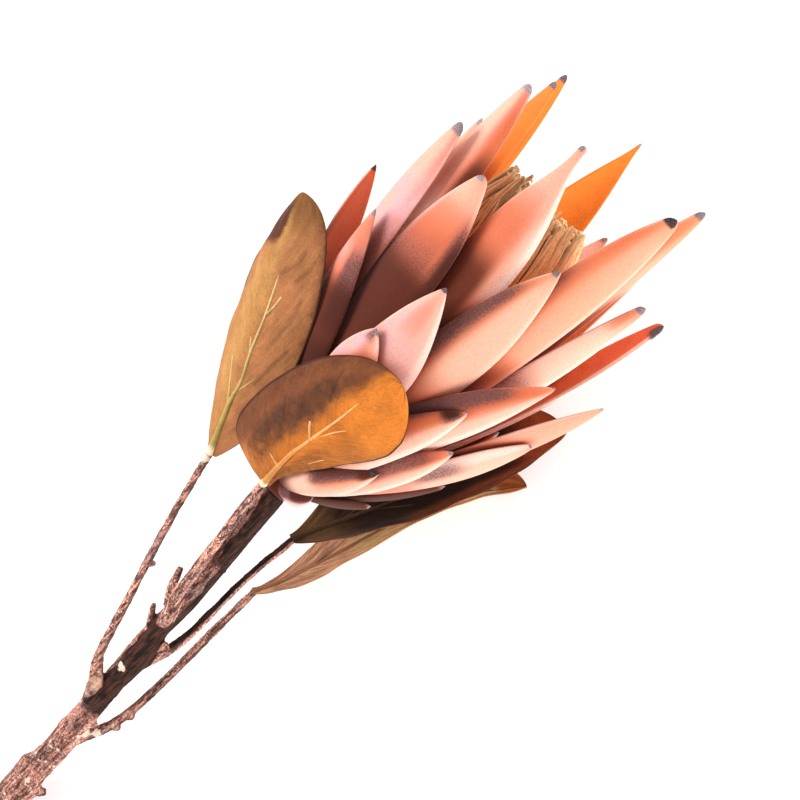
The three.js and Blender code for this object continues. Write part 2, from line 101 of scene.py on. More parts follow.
def raise_to(masks, kind, mark):
    masks[kind] = np.maximum(masks[kind], mark)


def circle(sides):
    return 2 * np.pi * np.arange(sides) / sides


def field(x, y, z):
    """Smooth noise at many points."""
    x, y, z = np.broadcast_arrays(x, y, z)
    values = [noise.noise(Vector(p)) for p in zip(x.ravel(), y.ravel(), z.ravel())]
    return np.reshape(values, x.shape)


def radial(phi):
    phi = np.asarray(phi)[..., None]
    return TOP * np.cos(phi) + LEFT * np.sin(phi)


def head_point(x, r, phi):
    """A point of the head, from its place along the axis, its radius and its azimuth."""
    return HEAD_BASE + AXIS * np.asarray(x)[..., None] + radial(phi) * np.asarray(r)[..., None]


def brush_point(x, r, phi):
    """A point of the brush, which leans to +Y towards its top."""
    lean = BRUSH_LEAN * (np.maximum(0, np.asarray(x) - 25) / 100) ** 2
    return head_point(x, r, phi) + LEFT * lean[..., None]


def spline(rows, count):
    """Points on a smooth curve through the rows."""
    rows = np.asarray(rows, float)
    n = len(rows)
    ends = np.vstack([2 * rows[0] - rows[1], rows, 2 * rows[-1] - rows[-2]])
    t = np.linspace(0, n - 1, count + 1)
    k = np.minimum(t.astype(int), n - 2)
    u = (t - k)[:, None]
    a, b, c, d = ends[k], ends[k + 1], ends[k + 2], ends[k + 3]
    cubic = (3 * b - a - 3 * c + d) * u ** 3
    return 0.5 * (2 * b + (c - a) * u + (2 * a - 5 * b + 4 * c - d) * u ** 2 + cubic)


def tube(line, radius, side, up, sides):
    """Rings of points round a line, or round many lines at once."""
    turn = circle(sides)[:, None]
    around = side[..., None, :] * np.cos(turn) + up[..., None, :] * np.sin(turn)
    return line[..., None, :] + around * radius[..., None]


def loop_faces(rings, sides):
    """Faces of a closed skin over rings of sides points each."""
    i = np.arange(rings - 1)[:, None] * sides
    j = np.arange(sides)[None, :]
    a, b = i + j, i + (j + 1) % sides
    quads = np.stack([a, b, b + sides, a + sides], -1).reshape(-1, 4)
    return [*quads, np.arange(sides)[::-1], np.arange(sides) + (rings - 1) * sides]


def place_object(name, data):
    obj = bpy.data.objects.new(name, data)
    bpy.context.scene.collection.objects.link(obj)
    return obj


def place_piece(name, mesh, values, material, node):
    """Puts a finished mesh in the place of a node's solid. Each value is a number for every point."""
    for key, v in values.items():
        mesh.attributes.new(key, "FLOAT", "POINT").data.foreach_set("value", v.astype(np.float32))
    mesh.polygons.foreach_set("use_smooth", np.ones(len(mesh.polygons), bool))
    mesh.materials.append(material)
    obj = place_object(name, mesh)
    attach(obj, "root")
    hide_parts(node)


class Build:
    """Gathers points, faces and point values for one mesh."""

    def __init__(self):
        self.points, self.normals, self.grids, self.faces = [], [], [], []
        self.values = {}
        self.count = 0

    def add(self, points, normals=None, **values):
        """Adds a closed skin, given as rings of points. Each value is spread over them."""
        rings, sides = points.shape[:2]
        if normals is not None:
            self.normals.append(normals.reshape(-1, 3))
            self.grids.append((self.count, rings, sides))
        for key, v in values.items():
            v = np.broadcast_to(np.asarray(v, float), (rings, sides)).ravel()
            self.values.setdefault(key, []).append((self.count, v))
        self.points.append(points.reshape(-1, 3))
        self.faces.extend((face + self.count).tolist() for face in loop_faces(rings, sides))
        self.count += rings * sides

    def mesh(self, name):
        mesh = bpy.data.meshes.new(name)
        mesh.from_pydata((np.vstack(self.points) * MM).tolist(), [], self.faces)
        mesh.validate()
        mesh.update()
        return mesh

    def place(self, name, material, node):
        whole = {}
        for key, parts in self.values.items():
            whole[key] = np.zeros(self.count, np.float32)
            for at, v in parts:
                whole[key][at:at + len(v)] = v
        place_piece(name, self.mesh(name), whole, material, node)


def occlusion(points, normals, tree):
    """How much of the room over each point is taken up by what stands near it, from 0 to 1."""
    reach, lift, tilt = 26.0, 0.7, math.radians(48)
    flat = np.where(np.abs(normals[:, 2:]) < 0.9, [0, 0, 1.0], [1.0, 0, 0])
    u = unit(np.cross(normals, flat))
    w = np.cross(normals, u)
    ways = [normals]
    for k in range(6):
        turn = math.radians(60 * k)
        aside = u * math.cos(turn) + w * math.sin(turn)
        ways.append(normals * math.cos(tilt) + aside * math.sin(tilt))
    start = points + normals * lift
    taken = np.zeros(len(points))
    for way in ways:
        for k in range(len(points)):
            distance = tree.ray_cast(Vector(start[k]), Vector(way[k]), reach)[3]
            if distance is not None:
                taken[k] += (1 - distance / reach) ** 0.7
    return taken / len(ways)


# Materials

class Shader:
    """A node material in the making. Sockets, numbers and colours can be mixed freely, and a name stands
    for the value that the mesh carries under it."""

    def __init__(self, name, roughness, specular, sheen=0, sheen_tint=(1, 1, 1)):
        self.material = bpy.data.materials.new(name)
        self.material.use_nodes = True
        self.tree = self.material.node_tree
        self.tree.nodes.clear()
        self.bsdf = self.tree.nodes.new("ShaderNodeBsdfPrincipled")
        self.set_inputs(self.bsdf, {
            "Roughness": roughness, "Specular IOR Level": specular, "Sheen Weight": sheen,
            "Sheen Roughness": 0.5, "Sheen Tint": sheen_tint})
        self.node("OutputMaterial", {"Surface": self.bsdf.outputs[0]}, None)
        self.where = self.node("TexCoord", {}, "Object")
        self.colour = None

    def set_inputs(self, node, inputs):
        for key, value in inputs.items():
            socket = node.inputs[key]
            if isinstance(value, str):
                value = self.node("Attribute", {}, "Fac", attribute_name=value)
            if isinstance(value, bpy.types.NodeSocket):
                self.tree.links.new(value, socket)
            else:
                socket.default_value = (*value, 1) if socket.type == "RGBA" else value

    def node(self, kind, inputs, output=0, **settings):
        """One output of a new node."""
        node = self.tree.nodes.new("ShaderNode" + kind)
        for key, value in settings.items():
            setattr(node, key, value)
        self.set_inputs(node, inputs)
        return None if output is None else node.outputs[output]

    def add(self, a, b, clamp=False):
        return self.node("Math", {0: a, 1: b}, operation="ADD", use_clamp=clamp)

    def product(self, a, b):
        return self.node("Math", {0: a, 1: b}, operation="MULTIPLY")

    def scaled(self, a, gain, offset):
        return self.add(self.product(a, gain), offset)

    def jitter(self, a, grain, gain, clamp=False):
        """A value made uneven by a grain whose middle is one half."""
        return self.add(a, self.scaled(grain, gain, -0.5 * gain), clamp)

    def ramp(self, x, low, high):
        inputs = {"Value": x, "From Min": low, "From Max": high}
        return self.node("MapRange", inputs, interpolation_type="SMOOTHSTEP")

    def mix(self, a, b, share):
        return self.node("Mix", {0: share, 6: a, 7: b}, 2, data_type="RGBA", clamp_factor=True)

    def times(self, colour, amount):
        """A colour made lighter or darker by a number."""
        return self.node("VectorMath", {0: colour, "Scale": amount}, operation="SCALE")

    def coat(self, colour, share):
        """Paints a colour over what is there."""
        self.colour = self.mix(self.colour, colour, share)

    def vary(self, grain, gain, offset):
        """Makes what is there lighter and darker with a grain."""
        self.colour = self.times(self.colour, self.scaled(grain, gain, offset))

    def speckled(self, name, grain, spread):
        """A painted value whose edge breaks up into fine specks."""
        return self.product(self.jitter(name, grain, spread, clamp=True), self.ramp(name, 0, 0.22))

    def stretched(self, x):
        return self.node("Mapping", {"Vector": self.where, "Scale": (x, 1, 1)})

    def point(self, *places):
        return self.node("CombineXYZ", dict(enumerate(places)))

    def noise(self, scale, detail, rough=0.5, at=None, distortion=0):
        return self.node("TexNoise", {
            "Vector": at or self.where, "Scale": scale, "Detail": detail, "Roughness": rough,
            "Distortion": distortion})

    def finish(self, height=None, distance=0, strength=0):
        """The material, with bumps of some height in metres."""
        self.set_inputs(self.bsdf, {"Base Color": self.colour})
        if height is not None:
            bump = self.node("Bump", {"Strength": strength, "Distance": distance, "Height": height})
            self.set_inputs(self.bsdf, {"Normal": bump})
        return self.material


def bract_material():
    m = Shader("velvet_bract", roughness=0.9, specular=0.08, sheen=0.12, sheen_tint=(1.0, 0.84, 0.78))
    grain = m.noise(2900, 1.0, 0.6)
    fleck = m.noise(1600, 3.0, 0.75)
    mottle = m.noise(190, 3.0, 0.55)
    speck = m.product(m.add(grain, fleck), 0.5)
    # the outside from pink to peach, with pale areas that are partly the paint's own and partly painted
    # light on lit sides, lilac and blushed areas, and a pale rim that is a painted highlight
    tone = m.jitter("tone", m.noise(42, 2.0), 0.6, clamp=True)
    m.colour = m.mix((0.66, 0.225, 0.18), (0.7, 0.24, 0.115), tone)
    m.coat((0.8, 0.43, 0.32), "pale")
    m.coat((0.6, 0.33, 0.36), m.product("lilac", m.ramp(mottle, 0.2, 0.65)))
    m.coat((0.56, 0.125, 0.05), m.speckled("blush", speck, 0.5))
    m.coat((0.88, 0.62, 0.53), m.product("rim", m.scaled(mottle, 0.5, 0.7)))
    # the inner face from red to orange
    inner = m.mix((0.72, 0.125, 0.06), (0.82, 0.21, 0.03), "warm")
    m.coat(m.times(inner, m.scaled(mottle, 0.3, 0.86)), m.ramp("inner", 0.3, 0.7))
    # painted shade: deeper colours where bracts stand close together, less so on the inner face and where
    # the outside is pale or has a painted glow
    shade = m.jitter("shade", speck, 0.2, clamp=True)
    for name, loss in (("inner", -0.42), ("pale", -0.75), ("glow", -0.8)):
        shade = m.product(shade, m.scaled(name, loss, 1.0))
    m.coat((0.5, 0.09, 0.035), m.product(m.ramp(shade, 0.04, 0.45), 0.8))
    m.coat((0.09, 0.022, 0.013), m.product(m.ramp(shade, 0.24, 0.72), 0.96))
    # airbrushed dusk and the deepest red
    m.coat((0.24, 0.06, 0.045), m.product(m.speckled("dusk", speck, 0.6), 0.75))
    dusk = m.add("dusk", m.scaled(fleck, 2.4, -1.3))
    dusk = m.product(m.ramp(dusk, 0.1, 1.1), m.ramp("dusk", 0.1, 0.7))
    m.coat((0.075, 0.04, 0.042), m.product(dusk, 0.85))
    deepest = m.mix((0.115, 0.024, 0.012), (0.05, 0.012, 0.008), m.product("dusk", 0.85))
    m.coat(deepest, m.ramp(m.speckled("deep", speck, 0.5), 0.05, 0.95))
    # the painted cap, from ashen to sooty
    ashen = m.mix((0.27, 0.2, 0.22), (0.5, 0.4, 0.41), m.ramp(grain, 0.4, 0.7))
    soot = m.mix((0.028, 0.018, 0.018), (0.12, 0.08, 0.085), m.ramp(grain, 0.45, 0.75))
    cap = m.ramp(m.jitter("cap", fleck, 0.7), 0.25, 0.75)
    m.coat(m.mix(ashen, soot, "cap_dark"), m.product(cap, m.ramp("cap", 0, 0.15)))
    m.vary(speck, 1.2, 0.4)
    # the painted glow also lightens the colour, as painted light
    m.vary("glow", 0.35, 1.0)
    height = m.add(m.product(grain, 0.6), m.product(mottle, 0.8))
    return m.finish(height, 0.0002, 0.45)


def floret_material():
    m = Shader("golden_yarn", roughness=0.75, specular=0.2, sheen=0.2, sheen_tint=(1.0, 0.85, 0.6))
    at = m.point(m.product("turn", 1.4), m.product("run", 0.12), m.product("tan", 40.0))
    fibre = m.noise(9.0, 2.0, 0.6, at)
    m.colour = m.mix((0.95, 0.45, 0.15), (1.0, 0.64, 0.3), "tan")
    # painted highlights along the strands, on a grain that follows each strand's turn
    m.coat((1.0, 0.79, 0.47), m.product(m.ramp(fibre, 0.42, 0.62), 0.85))
    # painted shade where the deep value says
    m.coat((0.15, 0.055, 0.025), m.product("deep", 0.94))
    m.vary(m.noise(240, 3.0, 0.6), 0.5, 0.8)
    return m.finish(fibre, 0.0003, 0.6)


def leaf_material(name, left, right, streak, streaks, margin, under, light, dark, rib, rib_end,
                  tip=None, base=None):
    m = Shader(name, roughness=0.78, specular=0.12, sheen=0.08, sheen_tint=(1.0, 0.9, 0.75))
    lines = m.noise(1.0, 3.0, 0.6, m.point(m.product("lead", 42.0), m.product("across", 3.5)))
    fine = m.noise(1.0, 3.0, 0.7, m.point(m.product("lead", 150.0), m.product("across", 9.0)))
    weave = m.noise(1500, 3.0, 0.75)
    mottle = m.noise(95, 5.0, 0.68)
    blotch = m.add(mottle, m.noise(260, 4.0, 0.72))
    # two colours that meet along a line, the back of the leaf, streaks, and other colours at the ends
    share = m.add("share", m.scaled(fine, 0.3, -0.1))
    share = m.add(share, m.scaled(blotch, 0.45, -0.43))
    m.colour = m.mix(right, left, m.ramp(share, 0.1, 0.9))
    m.coat(under, m.ramp("under", 0.3, 0.7))
    m.coat(streak, m.product(m.ramp(lines, 0.4, 0.7), streaks))
    if tip:
        m.coat(tip, m.ramp(m.jitter("along", mottle, 0.3), 0.78, 0.92))
    if base:
        m.colour = m.mix(base, m.colour, m.ramp(m.jitter("along", lines, 0.1), 0.08, 0.28))
    # light and dark areas, mostly painted light and painted shade where a leaf turns to or from the light,
    # lies in a fold or under the head, then the dark margin and the pressed veins
    m.coat(light, m.product("light", m.scaled(fine, 0.5, 0.7)))
    shade_spread = m.ramp(m.add("dark", m.scaled(blotch, 0.8, -0.8)), 0.05, 0.8)
    m.coat(dark, m.product(shade_spread, m.ramp("dark", 0, 0.2)))
    m.coat(margin, m.product(m.ramp(m.jitter("edge", fine, 0.3), 0.4, 0.8), 0.95))
    m.coat(m.times(m.colour, 0.72), "vein")
    # the midrib and its spurs, pale where it is glued on
    ribs = m.mix(rib, rib_end, m.ramp("rib_end", 0.3, 1.0))
    ribs = m.times(ribs, m.scaled(m.noise(500, 3.0, 0.6), 0.6, 0.7))
    m.coat(m.mix(ribs, (0.88, 0.72, 0.5), "glue"), "rib")
    m.vary(weave, 0.8, 0.6)
    m.vary(fine, 0.7, 0.65)
    m.vary(mottle, 1.1, 0.45)
    height = m.add(m.product(weave, 0.4), m.product(fine, 0.5))
    return m.finish(height, 0.0002, 0.6)


def bark_material():
    m = Shader("rough_bark", roughness=0.88, specular=0.15)
    speck = m.noise(1500, 3.0, 0.7)
    flake = m.noise(480, 4.0, 0.65, distortion=0.6)
    along = m.noise(900, 3.0, 0.6, m.stretched(0.16))
    fibre = m.noise(700, 4.0, 0.7, m.stretched(0.1))
    # brown flakes, painted lighter where lit, with pale flecks that are painted glints, strongest where
    # lit, grey patches, dark lines, pits and cracks
    rough = m.product(m.add(flake, fibre), 0.5)
    m.colour = m.mix((0.1, 0.038, 0.028), (0.48, 0.195, 0.14), m.ramp(rough, 0.4, 0.6))
    m.coat((0.75, 0.32, 0.22), m.product("lit", m.ramp(fibre, 0.4, 0.6)))
    m.coat((0.95, 0.72, 0.66), m.product(m.ramp(speck, 0.52, 0.66), m.scaled("lit", 0.5, 0.42)))
    m.coat((0.26, 0.19, 0.19), m.product(m.ramp(m.noise(110, 3.0, 0.6), 0.46, 0.7), 0.5))
    m.coat((0.04, 0.016, 0.012), m.product(m.ramp(along, 0.48, 0.62), 0.8))
    m.coat((0.03, 0.014, 0.012), m.product(m.ramp(speck, 0.5, 0.36), 0.75))
    m.coat((0.045, 0.02, 0.016), m.product("crack", 0.8))
    # painted shade on the dark side, then scars, the knob and the cut end
    dark = m.ramp(m.add("dark", m.scaled(m.add(flake, speck), 1.1, -1.1)), 0.3, 0.7)
    shade_colour = m.mix((0.012, 0.006, 0.005), (0.075, 0.03, 0.02), m.ramp(along, 0.35, 0.7))
    m.coat(shade_colour, m.product(dark, m.ramp("dark", 0.02, 0.2)))
    pale = m.product(m.ramp(m.jitter("pale", speck, 0.6), 0.3, 0.7), m.ramp("pale", 0.02, 0.2))
    m.coat(m.mix((0.5, 0.36, 0.28), (0.84, 0.68, 0.56), flake), pale)
    m.coat((0.6, 0.36, 0.24), m.product("knob", m.ramp(flake, 0.3, 0.6)))
    m.coat(m.mix((0.55, 0.36, 0.22), (0.74, 0.55, 0.36), m.noise(700, 3.0, 0.6)), "cut")
    return m.finish(m.add(m.product(speck, 0.5), m.add(flake, along)), 0.0004, 0.8)


# Bracts. A row's shape: tip along the axis, tip radius, tip azimuth, root azimuth, width, ring, bend, width
# of the tip as a share, how long the width is kept, and where they differ from the rest, place of the
# widest part, twist and how far the neck is drawn in. Then the tone from pink to peach, the warmth of the
# inner face from red to orange, the cap (length in millimetres, darkness, and its side, 0 for the whole
# tip), and the marks: what is airbrushed on, a painted glow of light that keeps the painted shade of other
# bracts off, or a fold that turns the outside over the inner face. Pale marks are partly the paint's own
# pale and partly painted light on lit sides, rim marks are painted highlights on lit edges, and the dusk
# and deep red on f2 and f3 are painted shade. A mark is (kind, from, to along the bract, from, to across
# it, strength), and one with no places across it goes from edge to edge
BRACTS = {
    "b1": ((158.4, 44, 14.3, -4, 20.2, 3, 2.8, 0.14, 4, 0.56, 0, 3), 0.4, 1, (2.6, 0.35, -1), [
        ("deep", 0, 0.69, -1.2, 0.35, 1), ("blush", 0.58, 0.84, -1.2, 0.3, 0.75),
        ("dusk", 0.62, 0.74, -1.2, -0.75, 0.5), ("pale", 0.82, 1, 0.55),
        ("pale", 0.56, 0.84, 0.5, 1.2, 0.9), ("rim", 0.3, 1, 0.78, 1.2, 1)]),
    "b2": ((163, 43.4, -39, -26, 21, 2.6, 2.6, 0.17, 3), 0.9, 0.8, (4, 1, -1), [
        ("pale", 0.52, 0.97, -0.35, 1.2, 0.35), ("blush", 0.62, 0.97, -1.2, -0.55, 0.85),
        ("blush", 0.42, 0.53, -0.2, 1.2, 0.8), ("deep", 0.2, 0.76, -1.2, -0.78, 0.9),
        ("dusk", 0.5, 0.78, -1.2, -0.62, 0.75), ("rim", 0.4, 1, 0.88, 1.2, 0.8)]),
    "b3": ((170.5, 38, -58, -50, 20, 3.6, 2.6, 0.15, 2.8), 0.9, 0.9, (3.6, 0.6, -1), [
        ("blush", 0.7, 0.98, -1.2, -0.1, 0.6), ("pale", 0.3, 0.9, 0, 1.2, 0.5),
        ("rim", 0.3, 0.9, 0.7, 1.2, 0.6)]),
    "b4": ((167.4, 37, 181, 183, 19.4, 3.8, 2.8, 0.04, 3.4, 0.5, 0, 1.6), 0.5, 1, (1.6, 0.1, 0), [
        ("glow", 0, 1, 0.35)]),
    "b5": ((165.5, 43.5, 128, 128, 20, 3.2, 2.6, 0.1, 2.4), 0.6, 0.95, (3.2, 0.8, 0), []),
    "b6": ((162, 38, 114, 104, 20, 3.8, 2.6, 0.1, 2.4, 0.6, -12), 0.8, 0.85, (3, 0.6, 0), []),
    "b7": ((158, 45.5, 58, 52, 22, 3, 2.6, 0.17, 2.4, 0.6, 10), 0.35, 0.8, (3, 0.1, 0), [
        ("pale", 0.2, 1, -1.2, 0.2, 0.75), ("pale", 0.2, 0.69, -1.2, 0.6, 0.9),
        ("blush", 0.64, 0.97, 0.42, 1.2, 1), ("deep", 0.66, 0.82, 0.45, 1.2, 1),
        ("dusk", 0.66, 0.78, 0.35, 1.2, 0.6), ("lilac", 0.4, 0.68, -1.2, -0.5, 0.6),
        ("glow", 0.35, 0.7, -1.2, 0.45, 1), ("rim", 0.4, 0.68, -1.2, 0.3, 1)]),
    "b8": ((138, 44.5, 70, 78, 16, 2.6, 2.6, 0.13, 2.4), 0.2, 0.6, (3, 0.1, 0), [("pale", 0.2, 1, 0.6)]),
    "b9": ((133, 52, 60, 66, 20, 1.8, 2.4, 0.17, 2.4, 0.6, 10), 0.1, 0.6, (4.4, 0.45, 0), [
        ("pale", 0.4, 1, -1.2, 0.5, 0.6), ("lilac", 0.5, 0.84, -0.6, 1.2, 0.9),
        ("dusk", 0.56, 0.72, 0.2, 1.2, 0.6)]),
    "w": ((130.5, 44, 148, 150, 14, 4, 2.8, 0.1, 2.4), 0.4, 0.7, (5, 0.5, 0), []),
    "v": ((136, 42, 203, 202, 14, 4, 2.8, 0.1, 2.4), 0.3, 0.2, (2.6, 0.4, 1), [
        ("fold", 0.5, 1, 0.85), ("pale", 0.4, 1, 1), ("glow", 0, 1, 1), ("rim", 0.8, 1, 0.5)]),
    "d4": ((134, 45, -68, -54, 15, 2.6, 1.8, 0.2, 2.2, 0.6, -20), 0.6, 0.7, (3.4, 0.55, -1), [
        ("blush", 0.9, 0.98, -1.2, -0.3, 0.7), ("dusk", 0.42, 0.66, -1.2, 0.2, 0.8),
        ("pale", 0.62, 0.92, 1), ("rim", 0.6, 0.95, 0.5, 1.2, 0.8)]),
    "d5": ((132.5, 51, -94, -92, 19, 1.8, 1.6, 0.22, 2.4, 0.6, 24), 0.3, 0.1, (7, 0.8, -1), [
        ("pale", 0.2, 1, 0.9), ("glow", 0, 1, 1), ("fold", 0.3, 1, -1.2, -0.35, 1),
        ("rim", 0.3, 1, -1.2, -0.3, 1)]),
    "a": ((127.5, 47.5, 34, 29.5, 25, 2, 2.6, 0.13, 2.3, 0.64), 0.5, 0.8, (2.6, 0.3, -1), [
        ("deep", 0, 0.71, 1), ("blush", 0.56, 0.87, 0.85), ("dusk", 0.45, 0.8, -1.2, 0.7, 0.62),
        ("lilac", 0.56, 0.88, -1.2, -0.7, 1), ("rim", 0.6, 0.95, -1.2, -0.9, 0.8),
        ("dusk", 0.6, 0.88, 0.66, 1.2, 1), ("deep", 0.56, 0.84, 0.74, 1.2, 1), ("pale", 0.9, 1, 0.5)]),
    "c": ((124.5, 46, -16.8, -12.5, 21, 1.8, 2.4, 0.04, 2.3), 0.8, 0.8, (2.8, 0.6, -1), [
        ("pale", 0.5, 0.97, -0.3, 1.2, 0.7), ("blush", 0.3, 0.56, -1.2, 0.6, 0.6),
        ("dusk", 0.36, 0.52, -0.9, 0.3, 0.5), ("blush", 0.58, 0.93, -1.2, -0.42, 0.5),
        ("dusk", 0.52, 0.91, -1.2, -0.5, 1), ("rim", 0.4, 1, 0.85, 1.2, 0.4)]),
    "b11": ((98.5, 57, 98, 98, 21.6, 1, 1.6, 0.03, 2.2, 0.58, -24), 0.4, 0.3, (2.4, 0.9, 0), [
        ("fold", 0, 1, 0.5), ("dusk", 0.45, 0.85, 0.45, 1.2, 0.6), ("glow", 0, 1, 1),
        ("blush", 0.1, 0.98, -1.2, -0.6, 0.6), ("blush", 0.1, 0.98, 0.4, 1.2, 0.7),
        ("deep", 0.3, 0.8, 0.6, 1.2, 0.8)]),
    "b12": ((92.5, 52, 58, 38, 17, 0.8, 1.8, 0.03, 2, 0.6, 10), 0.3, 0.5, (2.6, 0.3, 1), [
        ("blush", 0.86, 0.97, -0.8, 1.2, 0.5), ("deep", 0.1, 0.75, -0.6, 1.2, 0.9),
        ("deep", 0.1, 0.62, 0.9), ("lilac", 0.6, 0.95, -1.2, -0.3, 0.5), ("dusk", 0, 0.56, 1),
        ("dusk", 0.55, 0.86, 0.1, 1.2, 0.95), ("blush", 0.62, 0.8, -0.8, 0.3, 0.7)]),
    "b13": ((94, 49, 10, 2, 22, 1, 1.5, 0.03, 1.7, 0.64), 0.05, 0.5, (1.8, 0.8, 0), [
        ("pale", 0.5, 1, 0.6), ("lilac", 0.55, 0.9, -1.2, 0, 0.8), ("lilac", 0.55, 0.78, 0.6),
        ("blush", 0.8, 0.95, -0.5, 0.35, 0.45), ("dusk", 0.72, 0.88, 0.02, 0.32, 0.12),
        ("rim", 0.5, 1, 0.8, 1.2, 0.8)]),
    "d1": ((95, 50, -54, -12, 20, 1.6, 1.4, 0.05, 2.2), 0.5, 0.4, (1.2, 0.3, -1), [
        ("dusk", 0.3, 0.88, -1.2, -0.4, 1), ("blush", 0.6, 0.99, -1.2, -0.12, 0.95),
        ("pale", 0.2, 0.97, 0, 1.2, 0.8), ("rim", 0.2, 0.97, 0.6, 1.2, 0.7)]),
    "d3": ((99.5, 57.5, -84, -70, 18, 1, 1.3, 0.04, 2, 0.6, -25), 0.7, 0.4, (1.6, 0.1, 0), [
        ("blush", 0.3, 0.68, -1.2, 0.3, 0.6), ("pale", 0.5, 1, 0.4), ("rim", 0.5, 1, 0.6, 1.2, 0.5)]),
    "b14": ((67.4, 45.5, 19, 10, 17.6, 0, 1.7, 0.03, 3.2, 0.62), 0.1, 0.5, (2.2, 0.5, 1), [
        ("pale", 0.6, 1, 0.5), ("lilac", 0.7, 1, -1.2, 0.1, 1), ("blush", 0.7, 0.93, -0.1, 0.5, 0.7),
        ("dusk", 0.94, 1, -0.5, 0.5, 0.75), ("rim", 0.5, 1, 0.8, 1.2, 0.6)]),
    "d2": ((68.8, 44.2, -36.5, -5, 14, 0.2, 2.4, 0.05, 2.6, 0.62, -4), 0.6, 0.4, (1, 0.1, 1), [
        ("blush", 0.6, 0.96, -1.2, -0.2, 1), ("dusk", 0.9, 0.985, -1.2, 0.1, 1),
        ("deep", 0.9, 0.975, -1.2, -0.3, 1), ("dusk", 0.5, 0.88, -1.2, -0.75, 0.7),
        ("pale", 0.3, 1, 0, 1.2, 0.8), ("rim", 0.3, 1, 0.6, 1.2, 0.7)]),
    "e3": ((73.5, 51, -77, -62, 16, 0.6, 1.3, 0.15, 2.4, 0.6, -20), 0.3, 0.4, (1, 0.6, -1), [
        ("pale", 0.5, 0.98, 0.9), ("rim", 0.5, 0.98, -1.2, -0.5, 0.7),
        ("dusk", 0.5, 0.72, -0.9, -0.1, 0.75)]),
    "e4": ((59, 45, -96, -92, 16, 0.3, 1.2, 0.1, 2.2), 0.1, 0.4, (1, 0.3, 0), [
        ("lilac", 0.6, 0.98, 0.6), ("dusk", 0.4, 0.78, 0.75), ("pale", 0.8, 1, 0.6)]),
    "e2": ((54.5, 40.5, -54, -28, 12.6, 0.1, 2.2, 0.08, 2.6, 0.62, -10), 0.4, 0.4, (1.8, 0.5, -1), [
        ("dusk", 0.3, 0.9, -1.2, -0.1, 0.8), ("blush", 0.78, 0.98, -1.2, 0, 0.85),
        ("pale", 0.2, 1, 0.1, 1.2, 0.9), ("rim", 0.2, 1, 0.6, 1.2, 0.7)]),
    "e1": ((31.8, 34.5, -37, -9, 11, 0, 2.4, 0.05, 2.2, 0.6, -12), 0.7, 0.4, (3.4, 1, -1), [
        ("dusk", 0.45, 1, -1.2, 0, 1), ("deep", 0.5, 0.98, -1.2, -0.3, 0.7),
        ("deep", 0.84, 1, -1.2, 0.3, 1), ("pale", 0, 0.5, 0.9), ("pale", 0.4, 0.98, 0.3, 1.2, 0.9),
        ("rim", 0.2, 0.95, 0.7, 1.2, 0.6)]),
    "f1": ((7, 13.6, -56, -6, 11, -0.6, 1.2, 0.3, 2.4, 0.6, -20), 0, 0.4, (1.6, 0.8, -1), [
        ("lilac", 0, 0.9, 0.8), ("deep", 0.42, 0.97, -2, 0.55, 1), ("dusk", 0.15, 0.98, -2, 0.65, 1),
        ("pale", 0, 1, 0.7, 1.2, 0.9), ("rim", 0.2, 1, 0.7, 1.2, 0.8)]),
    # f2 and f3 lie under the head: their dusk and deep red are painted shade
    "f2": ((17.4, 27.3, -86, -86, 15, 0, 1.2, 0.15, 2.2, 0.6, -10), 0.1, 0.3, (1.6, 0.1, 1), [
        ("fold", 0, 1, -2, 2, 1), ("dusk", 0, 0.98, -2, 2, 0.75), ("deep", 0, 0.98, -2, 2, 1)]),
    "f3": ((40, 40, -96, -96, 17, 0.3, 1.2, 0.15, 2.2, 0.6, -10), 0.1, 0.3, (1.2, 0.6, 0), [
        ("fold", 0, 1, -2, 2, 1), ("dusk", 0, 0.98, -2, 2, 0.75), ("deep", 0, 0.98, -2, 2, 1)]),
    "low1": ((96, 52, 167, 168, 22, 1, 1.9, 0.15, 2.2), 0.3, 0.5, (2.6, 0.5, 0), []),
    "low2": ((96, 52, 193, 192, 22, 1, 1.9, 0.15, 2.2), 0.5, 0.5, (2.6, 0.5, 0), []),
    "low3": ((140, 40, 236, 238, 18, 3, 2.4, 0.15, 2.2), 0.4, 0.7, (3, 0.6, 0), []),
}

# The rings on the side that faces the surface: tip x, tip radius, width, ring, bend, azimuths
UNDER_RINGS = [
    (45, 37, 17, 0.1, 1.3, [120, 148, 180, 208, 240]),
    (66, 42, 18, 0.6, 1.5, [106, 134, 163, 194, 222, 250]),
    (92, 48, 19, 1.2, 1.7, [126, 146, 216, 238]),
    (119, 44, 18, 2.1, 2.2, [140, 158, 180, 200, 228, 248]),
]
# Those with their tips below this place on the axis are painted deep red as shade
LOW_X = 76
LOW_SHADE = [("deep", 0, 0.97, 0.8)]
VARIATION_SEED = 7

# The receptacle that the bracts grow from, as places along the axis and radii
RECEPTACLE = np.array([[-3.7, 5.4], [-2, 6.6], [0, 7.4], [4, 9.4], [8, 11], [14, 12.4], [21, 11.6],
                       [25, 8.6]])

# Places across a bract, from -1 to 1 on its outside and back on its inner face, and which face they are on
COLUMNS = 15
ACROSS = np.linspace(-1, 1, COLUMNS)
ACROSS = np.concatenate([ACROSS, [1.08], ACROSS[::-1], [-1.08]])
INNER = np.repeat([0, 0.35, 1, 0.35], [COLUMNS, 1, COLUMNS, 1])
EDGE_TO_EDGE = (-1.2, 1.2)
PAINTS = ("dusk", "blush", "deep", "pale", "lilac", "rim", "glow")


